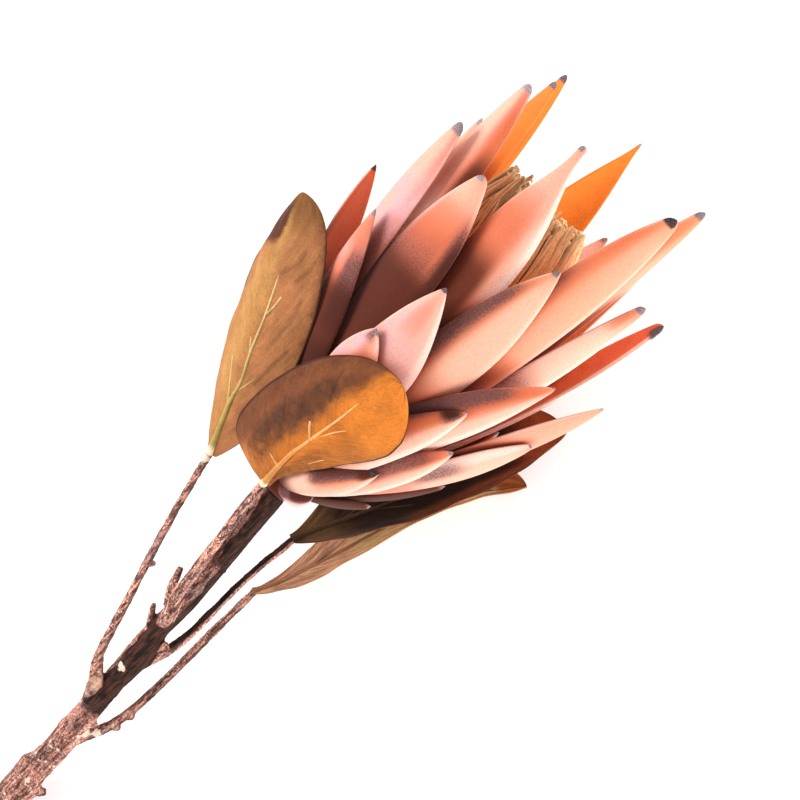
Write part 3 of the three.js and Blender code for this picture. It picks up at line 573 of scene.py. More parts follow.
def under_bracts():
    """The shapes of the bracts that face the surface, each as far off its place as in the solids."""
    draw = VARIATION_SEED

    def random():
        nonlocal draw
        draw = (draw * 16807) % 2147483647
        return draw / 2147483647

    shapes = []
    for x, r, width, ring, bend, azimuths in UNDER_RINGS:
        for phi in azimuths:
            dx = (random() - 0.5) * 0.1 * x
            dr = (random() - 0.6) * 3
            dphi = (random() - 0.5) * 6
            shapes.append((x + dx, r + dr, phi + dphi, phi, width, ring, bend))
    return shapes


def bract_width(s, widest, nose, blunt, neck):
    near = 1 - 0.45 * np.maximum(0, 1 - s / widest) ** 1.8
    q = np.clip((s - widest) / (1 - widest), 0, 1)
    far = nose + (1 - nose) * (1 - q ** blunt) ** neck
    return np.where(s < widest, near, far)


def bract_skin(seed, tip_x, tip_r, tip_phi, root_phi, width, ring, bend, nose=0.15, blunt=2.2, widest=0.6,
               twist=0, neck=1.0):
    """A bract's skin as rings of points with their normals, each ring's place along it, and its length."""
    root_x = -1.0 if tip_x < 12 else 1 + RING_STEP * ring
    root_r = ROOT_R + 0.6 * ring
    rows = 38 if tip_x > 60 else 28

    def at(t):
        share = (1 - np.exp(-bend * t)) / (1 - math.exp(-bend))
        phi = np.radians(root_phi + (tip_phi - root_phi) * t)
        return head_point(root_x + (tip_x - root_x) * t, root_r + (tip_r - root_r) * share, phi)

    # the middle line, with rings closer together towards the tip, and the twisted frame on it
    fine = np.linspace(0, 1, 301)
    run = np.concatenate([[0], np.cumsum(np.linalg.norm(np.diff(at(fine), axis=0), axis=1))])
    length = run[-1]
    s = 1 - (1 - np.linspace(0, 1, rows + 1)) ** 1.8
    t = np.interp(s * length, run, fine)
    tangent = unit(at(t + 0.004) - at(t - 0.004))
    out = radial(np.radians(root_phi + (tip_phi - root_phi) * t))
    flat = unit(out - tangent * (out * tangent).sum(-1, keepdims=True))
    across = np.cross(tangent, flat)
    turn = (math.radians(twist) * s)[:, None]
    normal = (flat * np.cos(turn) + across * np.sin(turn))[:, None]
    side = (across * np.cos(turn) - flat * np.sin(turn))[:, None]

    # half widths with a rounded tip and slightly uneven edges, and the thickness
    nose_length = max(nose * width / 2, 0.9)
    rounding = np.sqrt(1 - np.clip(1 - (1 - s) * length / nose_length, 0, 1) ** 2)
    half = np.maximum(0.25, (width / 2) * bract_width(s, widest, nose, blunt, neck) * rounding)
    edges = half[:, None] * (1 + 0.035 * field(5.5 * s[:, None], 3.1 * seed, [0.0, 7.0]))
    thick = BRACT_THICK * np.minimum(1, 0.42 + half / 5)
    thick = thick * np.sqrt(np.clip((1 - s) * length / 1.6, 0.1, 1))

    # each ring runs over the outside, round the right edge, back over the inner face and round the left
    v = ACROSS[:COLUMNS]
    ang = (CUP * v)[None, :, None]
    curve = (half / math.sin(CUP))[:, None, None]
    reach = np.where(v < 0, edges[:, :1], edges[:, 1:]) / half[:, None]
    place = (at(t)[:, None] + side * curve * np.sin(ang) * reach[..., None]
             - normal * curve * (1 - np.cos(ang)))
    n = normal * np.cos(ang) + side * np.sin(ang)
    h = (thick[:, None] * (1 - 0.5 * v ** 2) / 2)[..., None]
    outward = side * np.cos(ang) - normal * np.sin(ang)
    right = (place + outward * h * 0.9)[:, -1:]
    left = (place - outward * h * 0.9)[:, :1]
    rings = np.concatenate([place + n * h, right, (place - n * h)[:, ::-1], left], axis=1)
    rings[..., 2] = np.maximum(rings[..., 2], 0.0)
    normals = np.concatenate([n, outward[:, -1:], -n[:, ::-1], -outward[:, :1]], axis=1)
    return rings, normals, s[:, None], length


def painted(marks, along):
    """What the marks lay on, as values from 0 to 1, and how far each point is on the inner face."""
    inner = np.ones_like(along) * INNER
    masks = {kind: np.zeros_like(inner) for kind in PAINTS}
    for kind, s0, s1, *places, strength in sorted(marks, key=lambda mark: mark[0] != "fold"):
        v0, v1 = places or EDGE_TO_EDGE
        soft = 0.14 if kind == "rim" else min(0.3, 0.5 * (v1 - v0))
        mark = band(along, s0, s1, min(0.07, 0.4 * (s1 - s0))) * band(ACROSS, v0, v1, soft) * strength
        if kind == "fold":
            inner = inner * (1 - mark)
            continue
        if kind != "glow":
            mark = mark * ((1 - inner) * 0.85 + 0.15)
        raise_to(masks, kind, mark)
    outside = 1 - inner
    if not marks:
        masks["dusk"] = 0.6 * band(along, 0.3, 0.72, 0.12) * band(ACROSS, -1.2, -0.55, 0.3) * outside
        masks["pale"] = 0.5 * band(along, 0.4, 1.0, 0.1) * band(ACROSS, 0.2, 1.2, 0.3) * outside
    # the root is deep red, both airbrushed and painted shade down in the cup, and where nothing else is
    # painted the rim gets a pale painted highlight
    raise_to(masks, "deep", 0.8 * (1 - step(along, 0.03, 0.36)))
    covered = np.maximum.reduce([masks["dusk"], masks["blush"], masks["deep"]])
    rim_highlight = 0.55 * step(np.abs(ACROSS), 0.88, 1.05) * outside * step(along, 0.2, 0.5)
    raise_to(masks, "rim", rim_highlight * (1 - np.clip(covered, 0, 1)))
    return masks, inner


def add_bract(build, seed, shape, tone, warm, cap, marks):
    rings, normals, along, length = bract_skin(seed, *shape)
    masks, inner = painted(marks, along)
    cap_length, cap_dark, cap_side = cap
    capped = 1 - step((1 - along) * length, cap_length * 0.45, cap_length * 1.3)
    if cap_side:
        capped = capped * (1 - step(-cap_side * ACROSS, -0.1, 0.9))
    build.add(rings, normals, tone=tone, warm=warm, inner=inner, cap=capped, cap_dark=cap_dark, **masks)


def make_bracts(neighbours):
    build = Build()
    for number, row in enumerate(BRACTS.values(), 1):
        add_bract(build, number, *row)
    for i, shape in enumerate(under_bracts()):
        warm, cap = 0.4 + 0.4 * ((i * 0.61) % 1), (2.4, (i * 0.53) % 1, 0)
        add_bract(build, 60 + i, shape, (i * 0.37) % 1, warm, cap, LOW_SHADE if shape[0] < LOW_X else [])
    # the receptacle, painted deep red as shade under the bracts
    phi = -circle(40)
    rings = head_point(RECEPTACLE[:, :1], RECEPTACLE[:, 1:], phi)
    build.add(rings, np.broadcast_to(radial(phi), rings.shape), deep=0.9, tone=0.3, warm=0.2)

    # the shade from the bracts themselves and from their neighbours, smoothed over each skin
    points, faces, count = [], [], 0
    for other in (build, *neighbours):
        points.extend(other.points)
        faces.extend([i + count for i in face] for face in other.faces)
        count += other.count
    tree = BVHTree.FromPolygons(np.vstack(points).tolist(), faces)
    shade = occlusion(np.vstack(build.points), np.vstack(build.normals), tree)
    for at, rings, around in build.grids:
        part = shade[at:at + rings * around].reshape(rings, around)
        for _ in range(3):
            part = (np.roll(part, 1, 1) + 2 * part + np.roll(part, -1, 1)) / 4
            ends = np.pad(part, ((1, 1), (0, 0)), "edge")
            part = (ends[:-2] + 2 * part + ends[2:]) / 4
        shade[at:at + rings * around] = part.ravel()
    build.values["shade"] = [(0, shade)]
    build.place("bracts_velvet", bract_material(), "bracts")


# Florets: a core, as places along the axis and radii, under bundles of yarn that bow outwards and end in a
# ragged crown. A layer of strands has a count, a lift off the core and how dark the painted shade in its
# gaps is, and the strands that fill the top have a count, the radius they reach and their foot on the axis
CORE = np.array([[25.3, 8.0], [34, 11.5], [50, 15.0], [70, 17.4], [95, 18.4], [112, 17.2],
                 [120.5, 13.6], [124.5, 8.5], [126, 2.0]])
BUNDLES = 27
LAYERS = ((100, 0.2, 0.38), (150, 1.1, 0.04), (140, 1.9, 0.0))
FILL, FILL_R, FILL_FOOT = 250, 17.2, 112


def add_strands(build, lines, radii, outs, tan, deep, sides=6):
    """Many strands at once: lines has a row of points for each of them, and radii a row of numbers."""
    tangent = unit(np.gradient(lines, axis=1))
    side = unit(np.cross(tangent, outs))
    points = tube(lines, radii[..., None], side, np.cross(side, tangent), sides)
    steps = np.linalg.norm(np.diff(lines, axis=1), axis=2)
    run = np.pad(np.cumsum(steps, axis=1), ((0, 0), (1, 0)))
    for k in range(len(lines)):
        build.add(points[k], tan=tan[k], deep=deep[k][:, None], run=run[k][:, None],
                  turn=np.sin(circle(sides)))


def floret_build():
    build = Build()
    # the core, painted dark as shade under the strands
    build.add(brush_point(CORE[:, :1], CORE[:, 1:], -circle(48)), tan=0.0, deep=0.95, run=0, turn=0)

    # the strands stand in bundles, each with its own habit; u runs along a strand, and past is its end
    u = np.linspace(0, 1, 18)[None, :]
    past = np.clip((u - 0.88) / 0.12, 0, 1)
    habit = rng.normal(0, 1, (BUNDLES, 4))
    for layer, (count, lift, gaps) in enumerate(LAYERS):
        one = (count, 1)
        phi = 2 * np.pi * (np.arange(count)[:, None] + 0.5 * layer) / count
        which = np.floor(phi / (2 * np.pi) * BUNDLES + 0.1 * rng.normal(0, 1, one)).astype(int) % BUNDLES
        swing, size, height, tint = np.moveaxis(habit[which], -1, 0)
        off = (phi - (which + 0.5) * 2 * np.pi / BUNDLES + np.pi) % (2 * np.pi) - np.pi
        spread = np.clip(np.abs(off) * BUNDLES / np.pi, 0, 1)
        # along the axis, from the core's side to the crown
        top = BRUSH_TOP + 0.6 - 0.5 * layer + 0.8 * height - 2.6 * spread ** 2 + rng.normal(0, 0.9, one)
        start = 46 + rng.uniform(0, 10, one)
        x = start + (top - start) * np.sin(np.minimum(u / 0.9, 1) * np.pi / 2) ** 0.9
        x = x - past ** 2 * 0.8
        # out from the axis, with a bow, and drawn in at the crown
        body = np.interp(x, CORE[:, 0], CORE[:, 1]) + lift + 0.6
        full = BRUSH_R - 1.1 + 0.35 * lift
        r = np.where(x < 108, np.minimum(body + (full - body) * step(x, 60, 108), full + 0.6), full)
        r = r - 3.6 * step(x, top - 13, top + 3)
        hump = 0.45 * (1 - spread ** 2) * step(x, 70, 105)
        r = r - past + hump + 0.25 * rng.normal(0, 1, one)
        # round the axis, wandering and gathered towards the middle of the bundle
        wander = 0.11 * np.sin(3.8 * u + 2.2 * swing) * size
        sway = rng.uniform(5, 11, one) * u + rng.uniform(0, 6.3, one)
        wander = wander + rng.uniform(0.01, 0.045, one) * np.sin(sway)
        wander = wander + 0.035 * rng.normal(0, 1, one) * step(u, 0.6, 1.0)
        gather = 0.1 + 0.34 * step(u, 0.35, 1.0)
        angle = phi - off * gather + wander * step(u, 0.1, 0.6)
        radii = 0.6 * rng.uniform(0.7, 1.15, one) * (1 - 0.5 * past)
        radii[:, -1] *= 0.45
        # colour, and painted shade: darker on the side away from the light, in the gaps and at the foot
        tan = np.clip(rng.normal(0.74, 0.24, one) + 0.12 * tint, 0.02, 1)
        shaded = 0.42 * step((angle + np.pi) % (2 * np.pi) - np.pi, 0.1, 0.6)
        gap = (gaps + 0.4 * spread ** 5) * (1 - step(u, 0.8, 0.95))
        deep = np.clip((1 - step(x, 44, 78)) * 0.6 + gap + shaded, 0, 1)
        add_strands(build, brush_point(x, r, angle), radii, radial(angle), tan, deep)

    # shorter ones that fill the top
    one = (FILL, 1)
    u = np.linspace(0, 1, 9)[None, :]
    spot = np.sqrt(rng.uniform(0.01, 1, one)) * FILL_R
    phi = rng.uniform(0, 2 * np.pi, one)
    top = BRUSH_TOP - 0.6 - 0.014 * spot ** 2 + rng.normal(0, 0.9, one)
    x = FILL_FOOT + (top - FILL_FOOT) * np.sin(u * np.pi * 0.6)
    r = np.abs(spot + 0.8 * np.sin(4 * u + phi) - 2.2 * step(u, 0.65, 1.0) * np.sign(spot - 3))
    angle = phi + 0.3 * step(u, 0.6, 1.0) * rng.normal(0, 1, one) * 6 / (spot + 6)
    radii = 0.78 * (1 - 0.35 * u) * np.ones(one)
    tan = np.clip(rng.normal(0.55, 0.22, one), 0.05, 1)
    # painted shade towards their foot
    deep = (1 - step(u, 0.3, 0.85)) * np.ones(one) * 0.9
    add_strands(build, brush_point(x, r, angle), radii, radial(angle), tan, deep)
    return build


# Leaves: midrib points from the head's base, and roll of the blade about its midrib at base and tip. Then,
# for the left and the right half: width, how far it is rolled, where it is widest, bluntness towards the
# tip and fullness towards the base (small is full). Places on a blade are (along, across), +1 being the
# left margin. split is where the two colours meet; spurs have their places and their radii at both ends;
# marks are (colour, from, to along, from, to across, strength). Two leaves have plain ribs and no glue
PLAIN = dict(
    split=[(0, 0), (1, 0)], softness=0.3, glue=0,
    midrib=[(0, 0), (0.06, 0), (0.2, 0), (0.4, 0.005), (0.6, 0), (0.86, 0)],
    spurs=[([(0.2, 0), (0.3, 0.2), (0.42, 0.5)], 0.5, 0.2),
           ([(0.32, 0), (0.42, -0.2), (0.54, -0.5)], 0.5, 0.2)])
LEAVES = {
    "leaf_left": dict(
        points=[[-10, 24, 5], [8, 31.5, 12], [30, 41.8, 25], [56, 54.4, 30.8], [75.4, 63.6, 23]],
        roll=(34, 36), width=(22.5, 19.8), curl=(62, 28), widest=(0.42, 0.6), blunt=(2.2, 1.6),
        base=(1.2, 0.9), split=[(0, 0), (1, 0)], softness=0.4, glue=1.0,
        midrib=[(0, 0), (0.12, 0), (0.24, 0), (0.34, -0.1), (0.44, -0.08), (0.56, -0.12), (0.68, -0.13)],
        spurs=[([(0.24, 0.02), (0.31, 0.14), (0.39, 0.27)], 0.75, 0.3),
               ([(0.44, -0.08), (0.48, 0), (0.53, 0.1)], 0.6, 0.3),
               ([(0.57, -0.14), (0.6, -0.24), (0.63, -0.31)], 0.5, 0.35),
               ([(0.28, 0), (0.35, -0.27), (0.45, -0.54), (0.53, -0.69)], 0.5, 0.2)],
        grooves=[[(0.69, -0.18), (0.73, -0.45), (0.77, -0.57)],
                 [(0.68, -0.5), (0.72, -0.71), (0.75, -0.79)],
                 [(0.48, -0.37), (0.59, -0.64), (0.64, -0.7)], [(0.36, -0.4), (0.5, -0.75)]],
        # the dark marks on the left half are painted shade in the curled fold at the tip and along the
        # margin; those on the right darken its margin
        marks=[("dark", 0.79, 0.97, 0.14, 0.85, 1), ("dark", 0.5, 0.9, 0.75, 1.2, 1),
               ("dark", 0.45, 0.95, -1.2, -0.88, 0.45), ("dark", 0.62, 1, -1.2, -0.8, 0.3),
               ("dark", 0.2, 0.6, -1.2, -0.85, 0.3), ("light", 0.55, 0.9, -0.02, 0.14, 0.4),
               ("light", 0.25, 0.7, 0.1, 0.5, 0.25)]),
    "leaf_front": dict(
        points=[[-3.8, 3.9, 8.8], [5, 4.2, 24], [18, 3.1, 37], [30, 1.2, 47], [42, -2, 54.5], [53, -6, 59]],
        roll=(0, 0), width=(24, 20), curl=(26, 35), widest=(0.3, 0.66), blunt=(2.3, 2.6), base=(0.36, 2.5),
        split=[(0, 1.1), (0.04, 0.88), (0.2, 0.5), (0.37, 0.26), (0.59, 0.2), (0.78, 0.26), (0.92, 0.6),
               (1, 1.1)], softness=0.2, glue=1.0,
        midrib=[(0, 0), (0.1, 0), (0.2, 0), (0.31, 0.01), (0.41, -0.02), (0.6, -0.02), (0.74, 0.04)],
        spurs=[([(0.19, 0), (0.2, 0.16), (0.21, 0.32)], 0.7, 0.25),
               ([(0.41, -0.02), (0.44, 0.1), (0.47, 0.2)], 0.65, 0.4),
               ([(0.41, -0.03), (0.58, -0.22), (0.68, -0.37)], 0.45, 0.2),
               ([(0.31, -0.6), (0.38, -0.65)], 0.3, 0.2)],
        grooves=[[(0.62, 0.3), (0.74, 0.7)], [(0.36, 0.45), (0.42, 0.7)]],
        # the dark marks are mostly painted shade on the left half and its margins, the light ones painted
        # light on the lit right half
        marks=[("light", 0.2, 0.6, -0.3, 0.1, 0.3), ("light", 0.6, 1, -1.2, 0.3, 0.6),
               ("dark", 0.3, 0.9, -1.2, -0.95, 0.4), ("dark", 0.1, 0.9, 0.92, 1.2, 0.5),
               ("dark", 0.1, 0.72, 0.2, 0.66, 0.5), ("dark", 0, 0.4, -1.2, -0.2, 0.3),
               ("dark", 0.68, 0.86, 0.16, 0.6, 0.35), ("dark", 0.2, 0.98, 0.78, 1.2, 0.3)]),
    "leaf_right": dict(
        points=[[-12, -17, -14], [8, -26, -20], [33, -37.5, -24], [58.5, -47.5, -23.5], [82.5, -57.5, -18]],
        roll=(35, 30), width=(20, 18), curl=(-20, -60), widest=(0.5, 0.5), blunt=(3.4, 2.6),
        base=(1.6, 0.75), **PLAIN,
        grooves=[[(0.2, 0.2), (0.4, 0.7)], [(0.4, 0.2), (0.6, 0.7)]],
        # the light marks are painted light on the curled margin and the tip
        marks=[("light", 0.42, 1, -1.2, -0.5, 0.9), ("light", 0.84, 1, -1.2, 1.2, 0.8),
               ("dark", 0.45, 0.8, -0.85, -0.72, 0.5)]),
    "leaf_under": dict(
        points=[[-35, -20.4, -24], [-20, -27, -23], [0, -33, -24], [25, -41, -26], [45, -51, -27],
                [59, -62, -26]],
        roll=(60, 25), width=(12, 7), curl=(-45, -10), widest=(0.6, 0.3), blunt=(3.2, 0.8),
        base=(1.8, 0.75), **PLAIN,
        grooves=[[(0.08, 0.3), (0.3, 0.6)], [(0.1, -0.4), (0.3, -0.6)], [(0.12, 0.05), (0.4, 0.3)]],
        # the light strip is painted light, the glow of light through the cloth
        marks=[("light", 0.42, 0.84, -1.2, 0.2, 1)]),
}

# The colours of each leaf, and how strong its streaks are. leaf_front's dark left colour is painted shade,
# and leaf_right's near-black colours are painted shade under the head
LEAF_LOOKS = {
    "leaf_left": dict(
        left=(0.34, 0.14, 0.042), right=(0.31, 0.115, 0.044), streak=(0.4, 0.2, 0.06), streaks=0.3,
        margin=(0.07, 0.018, 0.006), under=(0.17, 0.07, 0.035), light=(0.5, 0.3, 0.085),
        dark=(0.065, 0.016, 0.006), tip=(0.19, 0.075, 0.022), rib=(0.36, 0.25, 0.07),
        rib_end=(0.6, 0.42, 0.2)),
    "leaf_front": dict(
        left=(0.15, 0.045, 0.018), right=(0.42, 0.122, 0.015), streak=(0.2, 0.062, 0.012), streaks=0.5,
        margin=(0.05, 0.012, 0.005), under=(0.3, 0.13, 0.05), light=(0.66, 0.19, 0.022),
        dark=(0.05, 0.018, 0.009), rib=(0.52, 0.22, 0.055), rib_end=(0.74, 0.38, 0.16)),
    "leaf_right": dict(
        left=(0.028, 0.011, 0.008), right=(0.03, 0.012, 0.008), streak=(0.06, 0.028, 0.018), streaks=0.4,
        margin=(0.1, 0.03, 0.014), under=(0.2, 0.07, 0.025), light=(0.3, 0.085, 0.026),
        dark=(0.05, 0.016, 0.01), rib=(0.1, 0.05, 0.03), rib_end=(0.14, 0.08, 0.05),
        tip=(0.2, 0.055, 0.018), base=(0.17, 0.085, 0.03)),
    "leaf_under": dict(
        left=(0.68, 0.33, 0.19), right=(0.7, 0.36, 0.2), streak=(0.2, 0.075, 0.045), streaks=0.8,
        margin=(0.4, 0.19, 0.09), under=(0.72, 0.36, 0.19), light=(1.0, 0.68, 0.31),
        dark=(0.14, 0.07, 0.035), rib=(0.3, 0.14, 0.07), rib_end=(0.4, 0.2, 0.1), tip=(0.3, 0.08, 0.02)),
}


def leaf_width(s, widest, blunt, base):
    near = 0.12 + 0.88 * np.maximum(0, 1 - np.maximum(0, 1 - s / widest) ** 2) ** base
    far = np.maximum(0, 1 - np.maximum(0, (s - widest) / (1 - widest)) ** blunt) ** 0.62
    return np.where(s < widest, near, far)


def leaf_surface(leaf):
    """The smooth blade, as a function from places on it to points and normals."""
    line = spline(leaf["points"], 240) + HEAD_BASE
    at = np.linspace(0, 1, 241)
    tangents = unit(np.gradient(line, axis=0))

    def surface(s, v):
        s, v = np.broadcast_arrays(s, v)
        p = np.stack([np.interp(s, at, line[:, k]) for k in range(3)], -1)
        tangent = unit(np.stack([np.interp(s, at, tangents[:, k]) for k in range(3)], -1))
        up = unit(np.array([0, 0, 1.0]) - tangent * tangent[..., 2:3])
        left = np.cross(up, tangent)
        roll = np.radians(leaf["roll"][0] + (leaf["roll"][1] - leaf["roll"][0]) * s)[..., None]
        normal = up * np.cos(roll) + left * np.sin(roll)
        side = left * np.cos(roll) - up * np.sin(roll)
        widths = [width * leaf_width(s, *form) for width, *form in
                  zip(leaf["width"], leaf["widest"], leaf["blunt"], leaf["base"])]
        half = np.maximum(0.25, np.where(v > 0, *widths))
        a = np.radians(np.where(v > 0, *leaf["curl"])) * np.abs(v)
        a = np.where(np.abs(a) < 1e-6, 1e-6, a)
        r = (half * np.abs(v) / a)[..., None]
        a = a[..., None]
        side = side * np.where(v > 0, 1.0, -1.0)[..., None]
        place = p + side * r * np.sin(a) - normal * r * (1 - np.cos(a))
        return place, normal * np.cos(a) + side * np.sin(a)

    return surface


def add_rib(build, surface, places, start, end, sides, glue=None):
    """A raised rib that tapers from one radius to the other. A midrib may have glue at its foot."""
    path = spline(places, 8 * (len(places) - 1))
    points, normals = surface(path[:, 0], path[:, 1])
    share = np.linspace(0, 1, len(path))
    radius = (start + (end - start) * share ** 0.7)[:, None]
    run = unit(np.gradient(points, axis=0))
    up = unit(normals - run * (normals * run).sum(-1, keepdims=True))
    points = points + up * (radius * 0.35)
    rough = field(points[:, :1] * 0.5, points[:, 1:2] * 0.5, 3.0 * np.sin(circle(sides)))
    rings = tube(points, radius * (1 + 0.2 * rough), np.cross(run, up), up, sides)
    share = share[:, None]
    if glue is None:
        build.add(rings, rib=1, rib_end=0.45 + 0.55 * share)
    else:
        build.add(rings, rib=1, rib_end=share, glue=glue * (1 - step(share, 0.02, 0.07)))


def leaf_build(leaf, seed):
    build = Build()
    surface = leaf_surface(leaf)
    rows, columns = 170, 81
    i = np.linspace(0, 1, rows + 1)
    s = np.minimum(np.where(i < 0.5, i, 1 - 0.5 * (np.maximum(0, 1 - i) / 0.5) ** 1.5), 0.9995)
    v = np.sin(np.linspace(-1, 1, columns) * np.pi / 2) * 0.35 + np.linspace(-1, 1, columns) * 0.65
    s, v = np.meshgrid(s, v, indexing="ij")
    place, n = surface(s, v)

    # soft folds along the side veins, a rippled margin, and a few veins pressed in
    lead = s - 0.3 * np.abs(v) ** 1.15
    phase = (lead / 0.115 + 0.5 * (v > 0)) % 1.0
    swell = -0.5 * np.cos(2 * np.pi * phase) * step(np.abs(v), 0.05, 0.4)
    height = (0.13 * swell + 0.5 * field(7 * s, 3.5 * v, seed)) * step(s, 0.0, 0.1)
    ripple = 0.9 * field(8 * s, 2.0 * np.sign(v), seed + 5)
    height = height + ripple * step(np.abs(v), 0.7, 1.0) * step(s, 0.05, 0.2)
    vein = np.zeros_like(s)
    for groove in leaf["grooves"]:
        path = surface(*spline(groove, 90).T)[0]
        away = np.min(np.linalg.norm(place[:, :, None] - path[None, None], axis=-1), axis=-1)
        vein = np.maximum(vein, bell(away, 0.75))
    place = place + n * (height - 0.22 * vein)[..., None]
    thick = (0.36 - 0.1 * np.abs(v))[..., None]
    rings = np.concatenate([place + n * thick, (place - n * thick)[:, ::-1]], axis=1)
    rings[..., 2] = np.maximum(rings[..., 2], 0.0)

    # values over the blade, the same on its face and on its back
    split = np.interp(s, *np.array(leaf["split"]).T)
    values = dict(along=s, across=v, lead=lead, edge=step(np.abs(v), 0.945, 0.985), vein=vein,
                  share=np.clip(0.5 + (v - split) / (2 * leaf["softness"]), 0, 1),
                  light=np.zeros_like(s), dark=np.zeros_like(s))
    for kind, s0, s1, v0, v1, strength in leaf["marks"]:
        raise_to(values, kind, band(s, s0, s1, 0.06) * band(v, v0, v1, 0.12) * strength)
    values = {key: np.concatenate([a, a[:, ::-1]], axis=1) for key, a in values.items()}
    build.add(rings, under=np.repeat([0, 1], columns), **values)
    add_rib(build, surface, leaf["midrib"], 1.4, 0.3, 10, leaf["glue"])
    for places, start, end in leaf["spurs"]:
        add_rib(build, surface, places, start, end, 8)
    return build


# Stem, petioles and stubs, as rows of x, y, z and radius from the head's base
STEM = [
    [-178, -20, -29.2, 6.2], [-164, -14.6, -28.6, 5.6], [-150, -11, -27.2, 5.5], [-141, -10.6, -26.2, 6.1],
    [-134.5, -9.6, -25.2, 5.8], [-128, -10, -24, 4.9], [-119, -9.7, -22.4, 4.8], [-109, -8.8, -20.4, 4.5],
    [-100, -8.2, -18.8, 4.4], [-89.5, -7.5, -17, 4.1], [-78, -7.2, -14.8, 4.8], [-66, -5.8, -12.6, 3.9],
    [-52, -5.6, -9.8, 4.0], [-35, -3.6, -6.4, 4.6], [-18, -1.8, -3.2, 4.9], [-4, -0.2, -0.8, 5.4],
]
PETIOLES = {
    "left": [[-102, -7, -18.6, 3.2], [-95.4, -3.6, -15, 2.9], [-90, 0.8, -13.6, 2.1],
             [-83.6, 3.8, -12, 1.7], [-66.4, 8.8, -7.6, 1.5], [-49, 14.1, -3, 1.45], [-31, 19.1, 1, 1.4],
             [-9.4, 24.4, 5.2, 1.3]],
    "right": [[-82, -8.6, -15.4, 3.0], [-74.6, -11.4, -15.6, 2.6], [-68, -14, -17, 1.9],
              [-57, -15, -17.6, 1.55], [-36, -15, -16.4, 1.4], [-24, -15.7, -15, 1.4],
              [-10.6, -17.2, -14, 1.3]],
    "under": [[-119, -9.8, -22.4, 3.2], [-112.5, -13.4, -23, 2.5], [-104, -17.6, -24, 1.8],
              [-90, -19.8, -25, 1.6], [-67, -20.2, -25, 1.6], [-50, -20.1, -24.8, 1.45],
              [-33.6, -20.4, -24, 1.3]],
    "front": [[-66, -7, -11, 2.2], [-60.6, -5, -7.6, 2.4], [-52, -2.2, -4.8, 2.0], [-40, -0.4, -1.6, 1.9],
              [-26, 1.4, 2.2, 1.7], [-13, 3.2, 5.4, 1.6], [-3.2, 4.0, 9.0, 1.4]],
}
STUBS = [
    [[-58, -2.8, -9, 2.1], [-53, 0.8, -7, 1.7], [-45.4, 3.8, -5, 1.2]],
    [[-67.5, -3, -11.6, 1.6], [-64, -0.4, -10.4, 1.2], [-61, 1.4, -9, 0.9]],
    [[-76, -9, -14, 2.2], [-71, -11, -12.8, 1.9], [-68.2, -12.4, -12, 1.7]],
    [[-134, -9, -25.4, 2.6], [-132.8, -6, -24.8, 2.3], [-133.4, -3.8, -24.4, 1.6]],
    [[-140.5, -13, -26, 2.4], [-138, -16.4, -26, 1.8], [-136, -18.2, -26, 1.3]],
    [[-110, -11, -20, 1.7], [-107.2, -13, -19.6, 1.2], [-106, -14.6, -19.4, 0.8]],
    [[-36.4, -5.5, -6, 1.7], [-36, -7.2, -5.6, 1.2], [-35.2, -8.2, -5.2, 0.9]],
    [[-52.4, 13, -4.4, 1.4], [-51.4, 11.6, -4.6, 1.1], [-50.6, 10.8, -4.6, 0.9]],
    [[-97.6, -18.8, -24.6, 1.6], [-96.2, -20.6, -24.4, 1.3], [-95.6, -21.8, -24.2, 0.9]],
    [[-103.4, -17.8, -24.2, 1.6], [-102.4, -20, -24.2, 1.3], [-101.8, -21.2, -24.2, 0.9]],
]
# Pale scars on the bark: spots, as a place from the head's base and a size, and rings round the stem, as a
# place along it, a width and a strength. The knob is a pinkish-brown spot on the left petiole
SCARS = [((-84.6, -6.3, -12.6), 2.1), ((-113.4, -11.1, -19), 1.8), ((-111, -13.6, -20.4), 1.8),
         ((-108.3, -16.5, -22), 1.8), ((-136.7, -10.7, -20), 1.3), ((-141.8, -12, -21.4), 1.0),
         ((-60, -4.2, -6), 0.9), ((-63.4, -5.4, -7.6), 0.9), ((-12.4, 24.4, 5), 2.0)]
RING_SCARS = [(-168, 0.7, 0.6), (-156, 0.5, 0.6), (-146, 0.4, 0.7), (-138, 0.5, 0.7), (-128, 0.4, 0.7),
              (-121, 0.4, 0.7), (-103, 0.4, 0.3)]
KNOB = (-95.4, -3.4, -13.4)
# The grid that the stem and its branches are fused on
VOXEL = 0.5


def add_branch(build, rows, count, sides, end_tangent=None):
    line = spline(rows, count)
    p = line[:, :3] + HEAD_BASE
    tangent = unit(np.gradient(p, axis=0))
    if end_tangent is not None:
        tangent[-1] = end_tangent
    side = unit(np.cross(tangent, [0, 0, 1.0]))
    build.add(tube(p, line[:, 3:], side, np.cross(side, tangent), sides))


def nearest(points, rows):
    """For each point: how far it stands out of a branch, and the nearest place's x on its line."""
    line = spline(rows, 160)
    p = line[:, :3] + HEAD_BASE
    best = np.full(len(points), np.inf)
    where = np.zeros(len(points), int)
    for k in range(len(p)):
        d = ((points - p[k]) ** 2).sum(1)
        closer = d < best
        best[closer] = d[closer]
        where[closer] = k
    return np.sqrt(best) - line[where, 3], line[where, 0]


def spot_at(points, place, grit, near, far):
    """A spot that fades out between two distances from a place, with an uneven edge."""
    away = np.linalg.norm(points - (HEAD_BASE + np.array(place)), axis=1)
    return 1 - step(away + grit, near, far)


